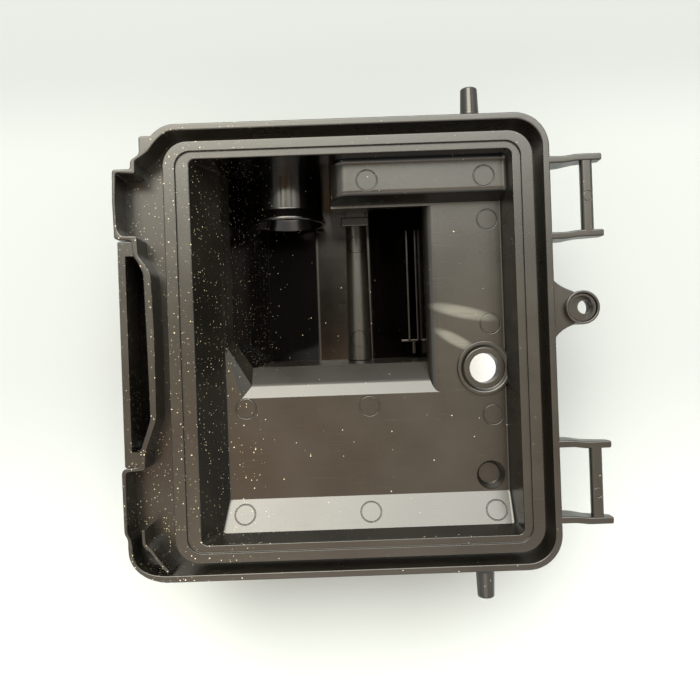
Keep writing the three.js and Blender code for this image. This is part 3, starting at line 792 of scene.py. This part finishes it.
mouth_box = (FLOOR[0], 31.2, -17.5, MOUTH_HIGH)
throat_box = THROAT[:4]
arm_mouth = (FLOOR[0], ARM_RIGHT, 30, FLOOR[3])
arm_foot = (RECESS_FLOOR[0], ARM_FOOT_RIGHT, 30, ARM_HIGH)
outside = box_hull("outside", [
    (THROAT_FOOT, grown(throat_box, WALL)), (PANEL_TOP, grown(PANEL, WALL)),
    (FLOOR_TOP, grown(FLOOR, WALL)), (FLOOR_TOP - 2.5, grown(FLOOR, WALL - 0.6))])
round_edges(outside, OUTER_ROUND)
for mouth, foot in ((mouth_box, RECESS_FLOOR), (arm_mouth, arm_foot)):
    bulge = box_hull("bulge", [(FLOOR_TOP, grown(mouth, WALL)), (RECESS_BOTTOM, grown(foot, WALL)),
                               (RECESS_BOTTOM - 2.5, grown(foot, WALL - 0.6))])
    join(outside, round_edges(bulge, OUTER_ROUND))
print("outside of the shell:", len(outside.data.polygons), "faces")

# %% [markdown]
# The tub's hollow is lofted through rounded rectangles. Its last two rings step in a little, which
# leaves a small fillet along the floor. The lower side leans in above the floor, as a sloped end panel.
# A bevel would also give the fillet, but not on a floor that is cut open by the recess.

# %% Hollow of the tub
FILLET = 0.6
ABOVE_THROAT = 2

slope = (FLOOR[2] - PANEL[2]) / (FLOOR_TOP - PANEL_TOP)
fillet_low = FLOOR[2] + slope * FILLET
tub_rings = [
    ring_at(rounded_box(*THROAT), ABOVE_THROAT), ring_at(rounded_box(*THROAT), THROAT_FOOT),
    ring_at(rounded_box(*PANEL, 1.2), PANEL_TOP),
    ring_at(rounded_box(-49.68, 58.2, fillet_low, 69.2, 0.9), FLOOR_TOP + FILLET),
    ring_at(rounded_box(-49.3, 58.0, fillet_low - slope * 0.42, 69.0, 0.85), FLOOR_TOP + 0.18),
    ring_at(rounded_box(-48.8, 57.6, FLOOR[2], 68.6, 0.8), FLOOR_TOP)]
hollow = loft("hollow", tub_rings)
print("rings of the hollow:", len(tub_rings))

# %% [markdown]
# The shelf across the top of the tub is a solid block under the tub's rim. Its front edge is rounded,
# its left end rolls down to the recess, and it meets the walls in a small concave fillet. Bevels could
# round a plain block, but not let its end roll down, so it is a loft of one section that changes height.

# %% Shelf
SHELF_TOP, SHELF_FOOT_Y, SHELF_EDGE_Y = -10, 54.3, 56.4
SHELF_LEFT, SHELF_ROLL, SHELF_DROP = -6.9, 6.4, 7.5
SHELF_RADIUS = 1.9
lean_per_mm = (SHELF_EDGE_Y - SHELF_FOOT_Y) / (SHELF_TOP - FLOOR_TOP)


def shelf_section(x, top):
    def front(z):
        return SHELF_FOOT_Y + (z - FLOOR_TOP) * lean_per_mm
    edge = front(top - SHELF_RADIUS)
    corner = [(edge, top - SHELF_RADIUS), (edge + 0.25, top), (edge + SHELF_RADIUS + 0.3, top)]
    wall = [(67.9, top), (69.2, top + 0.1), (69.4, top + 1.5)]
    outline = [(front(-30), -30), *curved(corner, 6), *curved(wall, 5), (78, top + 1.6), (78, -30)]
    return [(x, y, z) for y, z in outline]


roll = []
for k in range(9):
    turn = math.radians(90 * k / 8)
    roll.append((SHELF_LEFT + SHELF_ROLL * (1 - math.cos(turn)),
                 SHELF_TOP - SHELF_DROP * (1 - math.sin(turn))))
fillet = [(57.3 + a, SHELF_TOP + b) for a, b in curved([(0, 0), (1.3, 0.1), (1.5, 1.5)], 5)]
shelf = loft("shelf", [shelf_section(x, top) for x, top in [*roll, *fillet, (66, SHELF_TOP + 1.6)]])
cut(hollow, shelf)
print("shelf top", SHELF_TOP, "mm below the rim")

# %% [markdown]
# The recess is lofted downwards through five-cornered rings: four straight sides, and a corner cut off
# at the left. Its lower side starts with a flat chamfer, goes on as a ramp, and then drops. Its right
# side rolls over instead, so the rings come closer together there. A hull is simpler, but it would fill
# the corner where the ramp starts. Each line of keys gives one side at four depths.

# %% Hollow of the recess
ROLL_START, ROLL_RADIUS = 32.6, 3.8
KEY_DEPTHS = [0, 2.1, 8, 49]
RECESS_KEYS = {
    "left": [-49.4, -48.9, -47.4, -37.0],
    "cut_top": [0.9, 1.4, 4.5, -4.4],
    "cut_foot": [-43.6, -39.9, -40.0, -36.6],
    "low": [-18.3, -13.7, -6.7, -5.0],
    "high": [53.4, 53.7, 54.4, 59.5]}


def between(values, depth):
    """Reads a line through the key depths."""
    for (d0, v0), (d1, v1) in zip(zip(KEY_DEPTHS, values), zip(KEY_DEPTHS[1:], values[1:])):
        if depth <= d1:
            return v0 + (v1 - v0) * (depth - d0) / (d1 - d0)
    return values[-1]


def recess_ring(depth, lift=0.0):
    left, cut_top, cut_foot, low, high = (between(line, depth) for line in RECESS_KEYS.values())
    right = ROLL_START - math.sqrt(max(0.0, ROLL_RADIUS ** 2 - max(0.0, ROLL_RADIUS - depth) ** 2))
    return ring_at([(left, cut_top), (cut_foot, low), (right, low), (right, high), (left, high)],
                   FLOOR_TOP - depth + lift)


roll_depths = [ROLL_RADIUS * (1 - math.cos(math.radians(turn))) for turn in range(15, 91, 15)]
depths = sorted({*KEY_DEPTHS, *roll_depths})
well = loft("well", [recess_ring(0, FILLET)] + [recess_ring(depth) for depth in depths])
arm_top = (FLOOR[0] - 0.15, ARM_RIGHT, 30, FLOOR[3])
join(well, box_hull("arm", [(FLOOR_TOP + FILLET, arm_top), (RECESS_BOTTOM, arm_foot)]))
print("recess levels:", [round(FLOOR_TOP - d, 1) for d in depths])

# %% [markdown]
# The floor of the recess rises to a flat spine, with a slope down on each side. A prism of that section
# is kept out of the hollow, so the spine is left standing in the shell. A small round hole is sunk
# beside the ridge. Modelling the floor on its own would leave a joint all round it.

# %% Raised spine of the recess floor
SPINE = (-14.5, 8.5, -55)
SLOPE_FOOT = 68.6
SIDE_HOLE = (-4.6, 17.5, 3.1)


def prism(name, corners, y0, y1):
    return loft(name, [[(x, y, z) for x, z in corners] for y in (y0, y1)])


def spine_corners(drop):
    left, right, top = SPINE
    return [(left + drop, top - drop), (right - drop, top - drop), (30 - 2 * drop, -SLOPE_FOOT),
            (30 - 2 * drop, -76), (-38 + 2 * drop, -76), (-38 + 2 * drop, -SLOPE_FOOT)]


cut(well, round_edges(prism("spine", spine_corners(0), -30, 80), 0.8))
drill = lathe("drill", [(SIDE_HOLE[2], SPINE[2] - 2.2), (SIDE_HOLE[2], SPINE[2] + 1)], 32)
join(well, turned(drill, Matrix.Translation((*SIDE_HOLE[:2], 0))))
print("spine top", SPINE[2], "mm below the rim")

# %% [markdown]
# Now the outside is hollowed by the tub and by the recess. It is also hollowed under the shelf and the
# spine, because a moulding is never solid where it is thick: it would sink in as it cools. The outlet's
# bore goes through the upper wall last.

# %% The shell
OUTLET = (-25, -41.5)
TUBE_RADIUS = 13.8

shell = outside
cut(shell, hollow)
cut(shell, well)
under_shelf = box_hull("under_shelf", [(-60, (SHELF_LEFT + WALL, 56.2, 58.8, 68)),
                                       (-12.6, (SHELF_LEFT + WALL + 5, 56.2, 58.8, 68))])
keep = box_hull("keep", [(FLOOR_TOP + 5, grown(mouth_box, WALL)),
                         (RECESS_BOTTOM, grown(RECESS_FLOOR, WALL))])
cut(shell, cut(under_shelf, keep))
cut(shell, prism("under_spine", spine_corners(2.5), -30, 80))
to_y = Matrix.Rotation(math.radians(-90), 4, "X")
bore = lathe("bore", [(TUBE_RADIUS - 0.2, 60), (TUBE_RADIUS - 0.2, 80)])
cut(shell, turned(bore, Matrix.Translation((OUTLET[0], 0, OUTLET[1])) @ to_y))
print("shell:", len(shell.data.polygons), "faces")

# %% [markdown]
# Ejector pins leave a shallow round groove where they pushed the box out of its mould. Each mark is a
# thin ring, cut into the surface and turned to lie along it. A bump map would be lighter, but a groove
# catches the light from every side, and it stays in the mesh.

# %% Pin marks
MARK_RADIUS, MARK_TUBE, MARK_DEPTH = 3.85, 0.32, 0.1


def mark_ring(x, y, z, tilt=0.0, radius=MARK_RADIUS):
    profile = [(radius + MARK_TUBE * math.cos(a), MARK_TUBE * math.sin(a))
               for a in (2 * math.pi * k / 20 for k in range(20))]
    ring = lathe("mark", profile, 48, closed=True)
    return turned(ring, Matrix.Translation((x, y, z + MARK_DEPTH)) @ Matrix.Rotation(tilt, 4, "X"))


panel_tilt = -math.atan2(PANEL_TOP - FLOOR_TOP, FLOOR[2] - PANEL[2])


def panel_height(y):
    return FLOOR_TOP + (FLOOR[2] - y) * (PANEL_TOP - FLOOR_TOP) / (FLOOR[2] - PANEL[2])


marks = [(52.9, 47.3, FLOOR_TOP), (52.8, 7.2, FLOOR_TOP), (52.8, -27.7, FLOOR_TOP),
         (-42.2, -22.3, FLOOR_TOP), (5.3, -22.8, FLOOR_TOP), (6.9, 61.7, SHELF_TOP), (50.4, 62.0, SHELF_TOP)]
for x, y, z in marks:
    cut(shell, mark_ring(x, y, z))
for x, y in ((-43.5, -62.3), (4.5, -62.8), (52.2, -63.7)):
    cut(shell, mark_ring(x, y, panel_height(y), panel_tilt))
print("pin marks cut:", len(marks) + 3)

# %% [markdown]
# Two round details stand in the tub floor: a boss with a bore, and a small blind cup. They could be
# joined to the floor, but they are named pieces of their own. The floor gets a hole for each, a little
# smaller than the piece that fills it, so that no gap shows.

# %% Holes for the bosses in the floor
BOSS = (49.8, -9.7)
BOSS_RADIUS, BOSS_LIP, BOSS_SEAT, BOSS_HOLE = 10.3, 9.1, 8.0, 5.7
CUP = (51.1, -50.8)
CUP_MOUTH, CUP_BOTTOM, CUP_DEPTH, CUP_WALL = 5.5, 4.4, -24, 1.6


def at(obj, x, y, z=0.0):
    return turned(obj, Matrix.Translation((x, y, z)))


def drill_floor(floor):
    for (x, y), radius in ((BOSS, BOSS_RADIUS - 0.5), (CUP, CUP_MOUTH + 0.5)):
        cut(floor, at(lathe("drill", [(radius, -30), (radius, -16)]), x, y))


print("bosses at", BOSS, CUP)

# %% [markdown]
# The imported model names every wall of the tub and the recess. Each one is taken out of the finished
# shell with a large block, so the surface runs on from section to section. The order matters, because a
# block takes all that is left inside it. What remains at the end is the floor of the recess.

# %% Share the shell out between its packed sections
UNDER = -27
LEFT_CUT, RIGHT_CUT = FLOOR[0] + 0.62, FLOOR[1] - 0.62

sections = [
    ("tub_left_wall", (-FAR, LEFT_CUT, -FAR, FAR, UNDER, FAR)),
    ("tub_right_wall", (RIGHT_CUT, FAR, -FAR, FAR, UNDER, FAR)),
    ("tub_upper_wall", (-FAR, FAR, 68.6, FAR, UNDER, FAR)),
    ("tub_lower_wall", (-FAR, FAR, -FAR, PANEL[2] + 0.02, UNDER, FAR)),
    ("sloped_end_panel", (-FAR, FAR, -FAR, FLOOR[2], UNDER, FAR)),
    ("top_shelf", (SHELF_LEFT - 0.4, FAR, MOUTH_HIGH, FAR, UNDER, FAR)),
    ("tub_floor", (-FAR, FAR, -FAR, FAR, UNDER, FAR)),
    ("recess_left_wall", (-FAR, RECESS_FLOOR[0], -FAR, FAR, -FAR, UNDER)),
    ("recess_right_wall", (RECESS_FLOOR[1] - 0.02, FAR, -FAR, FAR, -FAR, UNDER)),
    ("recess_ramp", (-FAR, FAR, -FAR, RECESS_FLOOR[2], -FAR, UNDER)),
    ("recess_upper_wall", (-FAR, FAR, MOUTH_HIGH, FAR, -FAR, UNDER)),
]
# The recess walls, its floor and the tub's upper wall take the darker finish, which is painted shade.
SECTION_FINISH = {"tub_floor": WIPED, "recess_left_wall": POLISHED_WITH_PAINTED_SHADE, "recess_right_wall": POLISHED_WITH_PAINTED_SHADE,
                  "recess_upper_wall": POLISHED_WITH_PAINTED_SHADE, "tub_upper_wall": POLISHED_WITH_PAINTED_SHADE}
for section, box in sections:
    part = take(shell, section, box)
    if section == "tub_floor":
        drill_floor(part)
    finish(part, section, finish_material=SECTION_FINISH.get(section))
finish(shell, "recess_floor", finish_material=POLISHED_WITH_PAINTED_SHADE)
print("shell sections:", len(sections) + 1)

# %% [markdown]
# Along the spine lies a half-round ridge. Two ejector pins stood on it, and left round marks. It ends in
# a block with two steps, and two thin ribs stand beside it. The ridge gets narrower along its length, so
# it is lofted between two arches and not bevelled from a block.

# %% Ridge, its end block and the guide ribs
RIDGE = (2.9, 5.2, -5.4, 52)
RIDGE_SINK = 1.2


def half_round(name, x, z, y0, y1, r0, r1, steps=28):
    rings = []
    for y, radius in ((y0, r0), (y1, r1)):
        turns = [math.pi * k / steps for k in range(steps + 1)]
        arch = [(x + radius * math.cos(a), z + radius * math.sin(a)) for a in turns]
        arch += [(x - radius, z - RIDGE_SINK), (x + radius, z - RIDGE_SINK)]
        rings.append([(px, y, pz) for px, pz in arch])
    return loft(name, rings)


x, radius, y0, y1 = RIDGE
ridge = half_round("ridge", x, SPINE[2], y0, y1, radius, radius - 0.7)
skin = half_round("skin", x, SPINE[2], y0 - 1, y1 + 1, radius - 0.5, radius - 1.2)
for mark_y in (3.5, 44):
    groove = lathe("groove", [(3.25, 0), (3.75, 0), (3.75, 9), (3.25, 9)], 48, closed=True)
    cut(ridge, cut(at(groove, x - 0.2, mark_y, SPINE[2]), copy_of(skin, "core")))
bpy.data.objects.remove(skin)
finish(ridge, "recess_ridge")

cap = block("cap", x - 6.2, x + 5.6, y1, y1 + 3.8, SPINE[2] - 1, SPINE[2] + 4.9)
step_block = block("step", x - 4.6, x + 4.4, y1 + 3.4, y1 + 8, SPINE[2] - 1, SPINE[2] + 3.4)
finish(join(round_edges(cap, 0.5), round_edges(step_block, 0.4)), "ridge_end_cap", finish_material=CLEAN)

GUIDES = (24.5, 28.2)
for i, guide_x in enumerate(GUIDES):
    rib = block("rib", guide_x - 0.6, guide_x + 0.6, 2, 50, -68.4, -52)
    round_edges(rib, 0.45)
    if i == 0:
        cross = block("cross", guide_x - 3.6, guide_x + 3.9, 1.6, 2.8, -68.2, -54)
        foot = block("foot", guide_x + 1.4, guide_x + 3.0, -3.6, 2, -68.2, -56)
        join(rib, round_edges(cross, 0.4), round_edges(foot, 0.4))
    finish(rib, f"guide_rib_{i + 1}", finish_material=POLISHED_WITH_PAINTED_SHADE)
print("ridge, cap and", len(GUIDES), "guide ribs")

# %% [markdown]
# The air leaves through a round tube with a bolted flange and a rubber ring in its groove. Tube and ring
# are turned from half of their section, and then laid along Y. Cylinders with cuts would need a bevel on
# every edge, while a section is rounded before it is turned.

# %% Outlet tube, flange and seal ring
def rounded_profile(points, reach, steps=5):
    """A closed section with every corner rounded."""
    return softened(points, reach, steps, closed=True)


BORE = 11.6
FLANGE_FROM, FLANGE_THICK = 84, 4
FLANGE_HALF = (25, 15.6)
FLANGE_HOLE, HOLE_SPACING = 3.2, 39
SEAL_INNER, SEAL_SECTION = 13, 1.2
to_outlet = Matrix.Translation((OUTLET[0], 0, OUTLET[1])) @ to_y

tube_section = rounded_profile([(BORE, 84.2), (TUBE_RADIUS, 84.2), (TUBE_RADIUS, 56), (15.2, 52.6),
                                (15.2, 51.4), (13.9, 51.4), (BORE, 56)], 0.5)
tube = turned(lathe("tube", tube_section, 80, closed=True), to_outlet)
finish(tube, "outlet_tube", finish_material=POLISHED_WITH_PAINTED_SHADE)

holes = [circle(side * HOLE_SPACING / 2, 0, FLANGE_HOLE, 32) for side in (-1, 1)]
outline = rounded_box(-FLANGE_HALF[0], FLANGE_HALF[0], -FLANGE_HALF[1], FLANGE_HALF[1], 8)
flange = plate("flange", [outline, circle(0, 0, BORE), *holes], 0, FLANGE_THICK, edge=0.4)
seal_outer = SEAL_INNER + 2 * SEAL_SECTION
groove = [(SEAL_INNER, 3.1), (seal_outer, 3.1), (seal_outer, 5), (SEAL_INNER, 5)]
cut(flange, lathe("groove", groove, closed=True))
to_flange = Matrix.Translation((OUTLET[0], FLANGE_FROM, OUTLET[1])) @ to_y
finish(turned(flange, to_flange), "outlet_flange")

middle = SEAL_INNER + SEAL_SECTION
ring = circle(middle, 4.1, 1.1, 20)
seal = turned(lathe("seal", ring, 80, closed=True), to_flange)
finish(seal, "outlet_seal_ring", slot="seal", finish_material=SEAL)
print("outlet pieces:", [p.name for p in made_pieces[-3:]])

# %% [markdown]
# The boss has a raised lip, and inside it a stepped ring with the bore. The cup is a thin shell, closed
# below. All three are turned, because a section shows lip, step and draft at a glance, and rounds them.

# %% Bosses in the floor
boss_section = rounded_profile([
    (BOSS_HOLE + 1.2, -25), (BOSS_RADIUS, -25), (BOSS_RADIUS, -17.4), (BOSS_LIP, -17.4),
    (BOSS_SEAT, -18.3), (BOSS_HOLE + 1.2, -18.3)], 0.3)
finish(at(lathe("boss", boss_section, 80, closed=True), *BOSS), "floor_boss")
bush_section = rounded_profile([
    (BOSS_HOLE, -25.2), (BOSS_HOLE + 1.4, -25.2), (BOSS_HOLE + 1.4, -18.4), (BOSS_SEAT + 0.1, -18.4),
    (BOSS_SEAT - 0.2, -18.05), (BOSS_HOLE, -18.05)], 0.25)
bush = at(lathe("bush", bush_section, 80, closed=True), *BOSS)
finish(bush, "floor_boss_bush", slot="bush", finish_material=CLEAN)

cup_section = [
    (0.01, CUP_DEPTH), (CUP_BOTTOM - 0.5, CUP_DEPTH), (CUP_BOTTOM, CUP_DEPTH + 0.4),
    (CUP_MOUTH - 0.25, FLOOR_TOP - 0.3), (CUP_MOUTH, FLOOR_TOP), (CUP_MOUTH + CUP_WALL, FLOOR_TOP - 0.02),
    (CUP_BOTTOM + CUP_WALL, CUP_DEPTH - CUP_WALL), (0.01, CUP_DEPTH - CUP_WALL)]
finish(at(lathe("cup", cup_section, 64), *CUP), "blind_pocket", finish_material=CLEAN)
print("boss, bush and blind pocket")

# %% [markdown]
# Outside the rim are two clevises for the latches, each with two ears and a bar between them. An ear
# could be cut from its side view, but its two bends show from above. So it is a plate seen from above,
# and a wedge takes away what is too much below. The bars are moulded on and do not turn.

# %% Clevises and latch bars
EAR_ROOT, EAR_TIP, EAR_THICK = 71.5, 90.8, 2.5
EAR_OUTER, EAR_INNER = 64.5, 37.3
BAR_X, BAR_HALF, BAR_Y = 85.4, 2.1, 51.25


def ear(name, y, side):
    half = EAR_THICK / 2
    outline = [(EAR_ROOT, -half), (77.5, -half), (82, -half + 0.6), (EAR_TIP, -half + 0.6),
               (EAR_TIP, half + 0.6), (82, half + 0.6), (77.5, half), (EAR_ROOT, half)]
    outline = softened([(px, y + side * py) for px, py in outline], 0.7, closed=True)
    made = plate(name, [outline], -12, 0, edge=0.5)
    below = ((72, -16), (72, -11.4), (EAR_TIP + 1, -3.4), (EAR_TIP + 1, -16))
    taper = hull("taper", [(px, y + py, z) for px, z in below for py in (-9, 9)])
    return finish(cut(made, taper), name)


ear("upper_clevis_upper_ear", EAR_OUTER, 1)
ear("upper_clevis_lower_ear", EAR_INNER, 1)
ear("lower_clevis_upper_ear", -EAR_INNER, -1)
ear("lower_clevis_lower_ear", -EAR_OUTER, -1)

for name, side, mark_y in (("upper_latch_bar", 1, 51.0), ("lower_latch_bar", -1, -55.0)):
    y = side * BAR_Y
    profile = rounded_box(BAR_X - BAR_HALF, BAR_X + BAR_HALF, -3.5, 0, 1.2, 6)
    bar = loft("bar", [[(px, y + end * 12.6, pz) for px, pz in profile] for end in (-1, 1)])
    cut(bar, mark_ring(BAR_X, mark_y, 0.05, radius=1.75))
    finish(bar, name)
print("clevises:", [p.name for p in made_pieces[-6:]])

# %% [markdown]
# A round pin stands out of each end of the rim. It has a fillet at its root, a rounded tip, and a fine
# raised line above and below, where the halves of the mould met. A lathe cannot make that line, so the
# rings are made here, and grow a little at those two places.

# %% Pivot pins
PIN_X, PIN_Z = 45, -5.4
PIN_ROOT, PIN_TIP, TIP_FROM, TIP_ROUND = 3.35, 3.05, 10.6, 0.8
PIN_FROM, PIN_TO = 81.2, 92.6
PIN_LINE = 0.13


def pin(name, side):
    stations = [(0, PIN_ROOT + 0.9), (0.9, PIN_ROOT + 0.65), (1.5, PIN_ROOT + 0.25), (2.3, PIN_ROOT)]
    stations.append((TIP_FROM, PIN_TIP))
    for k in range(1, 6):
        turn = math.pi / 2 * k / 5
        stations.append((TIP_FROM + TIP_ROUND * math.sin(turn), PIN_TIP - TIP_ROUND * (1 - math.cos(turn))))
    stations.append((PIN_TO - PIN_FROM, 0.01))
    rings = []
    for along, radius in stations:
        ring = []
        for k in range(72):
            turn = 2 * math.pi * k / 72
            crest = max(0.0, abs(math.sin(turn)) - 0.994) / 0.006
            reach = radius + (PIN_LINE * crest if radius > 2.9 else 0)
            x, z = PIN_X + reach * math.cos(turn), PIN_Z + reach * math.sin(turn)
            ring.append((x, side * (PIN_FROM + along), z))
        rings.append(ring)
    return finish(loft(name, rings), name)


pin("upper_pivot_pin", 1)
pin("lower_pivot_pin", -1)
print("pins made")

# %% [markdown]
# A round eye for a fixing stands outside the rim, on a web with curved sides. The web is a plate from
# its outline, because a stretched block has no such curves. The eye is turned, and in it sits a bush
# whose bore lies off centre, so that one is cut and not turned.

# %% Fixing eye
EYE = (82.6, 11.4)
EYE_RADIUS, EYE_COUNTER, EYE_BUSH, EYE_STEP, EYE_BORE = 6.1, 5.2, 5.1, 4.2, 2.5
BORE_SHIFT = (1.5, 0.2)
web = [*curved([(71.5, -3.2), (72.6, 1.4), (75.6, 4.0), (80.2, 5.4)], 10),
       *arc(*EYE, EYE_RADIUS - 0.4, -110, 110, 20),
       *curved([(80.4, 17.3), (76.4, 19.0), (73.2, 20.4), (71.5, 24.5)], 10)]
lug = plate("lug", [web], -6.6, -3.4, edge=0.5)
eye_section = rounded_profile([(EYE_COUNTER, -6.0), (3.5, -6.0), (3.5, -8.4), (EYE_RADIUS, -8.4),
                               (EYE_RADIUS, -0.8), (EYE_COUNTER, -0.8)], 0.35)
cut(lug, at(lathe("room", [(EYE_COUNTER, -9), (EYE_COUNTER, 1)], 64), *EYE))
finish(join(lug, at(lathe("eye", eye_section, 80, closed=True), *EYE)), "fixing_eye_lug")

bush = round_edges(at(lathe("bush", [(EYE_BUSH, -6.1), (EYE_BUSH, -1.7)], 72), *EYE), 0.25)
cut(bush, at(lathe("step", [(EYE_STEP, -4.0), (EYE_STEP, 1)], 64), *EYE))
bore = lathe("bore", [(EYE_BORE, -9), (EYE_BORE, 1)], 48)
cut(bush, at(bore, EYE[0] + BORE_SHIFT[0], EYE[1] + BORE_SHIFT[1]))
finish(bush, "fixing_eye_bush", slot="bush", finish_material=CLEAN)
print("fixing eye made")

# %% [markdown]
# Fresh air comes in through a long slot on the hinge side. A flat frame lies round it, and ends where
# the rim wall starts, so the rim's own outline is cut out of it. Below hangs a narrow duct, a box with
# an even wall, closed below and open at the end that faces -Y. A solidify modifier could hollow it, but
# would leave no say in which end stays open.

# %% Air slot and its duct
SLOT_FRAME = (-83.6, -76.2, -40.6, 40.6)
SLOT_HOLE = (-80.9, -60, -35, 35.3)
frame_plate = plate("slot_frame", [rounded_box(*SLOT_FRAME, 0.6)], BASE_BOTTOM, -0.8, edge=0.4)
cut(frame_plate, box_hull("slot", [(-40, SLOT_HOLE), (5, SLOT_HOLE)]))
room = loft("room", [ring_at(rim_outline(-0.01, HINGE_SIDE_OUTER, grow=0.01), z) for z in (-40, 5)])
cut(frame_plate, room)
finish(frame_plate, "intake_slot_frame")

DUCT = (-84.2, -70.6, -37.5, 37.5)
duct = round_edges(box_hull("duct", [(-46, DUCT), (BASE_BOTTOM, DUCT)]), 1.5)
inside = grown(DUCT, -2)
mouth = (*inside[:2], -50, -30)
cut(duct, box_hull("inside", [(-44, inside), (0, inside)]))
cut(duct, box_hull("mouth", [(-44, mouth), (-22, mouth)]))
finish(duct, "intake_duct", finish_material=CLEAN)
print("slot and duct made; skins in all:", len(made_pieces))
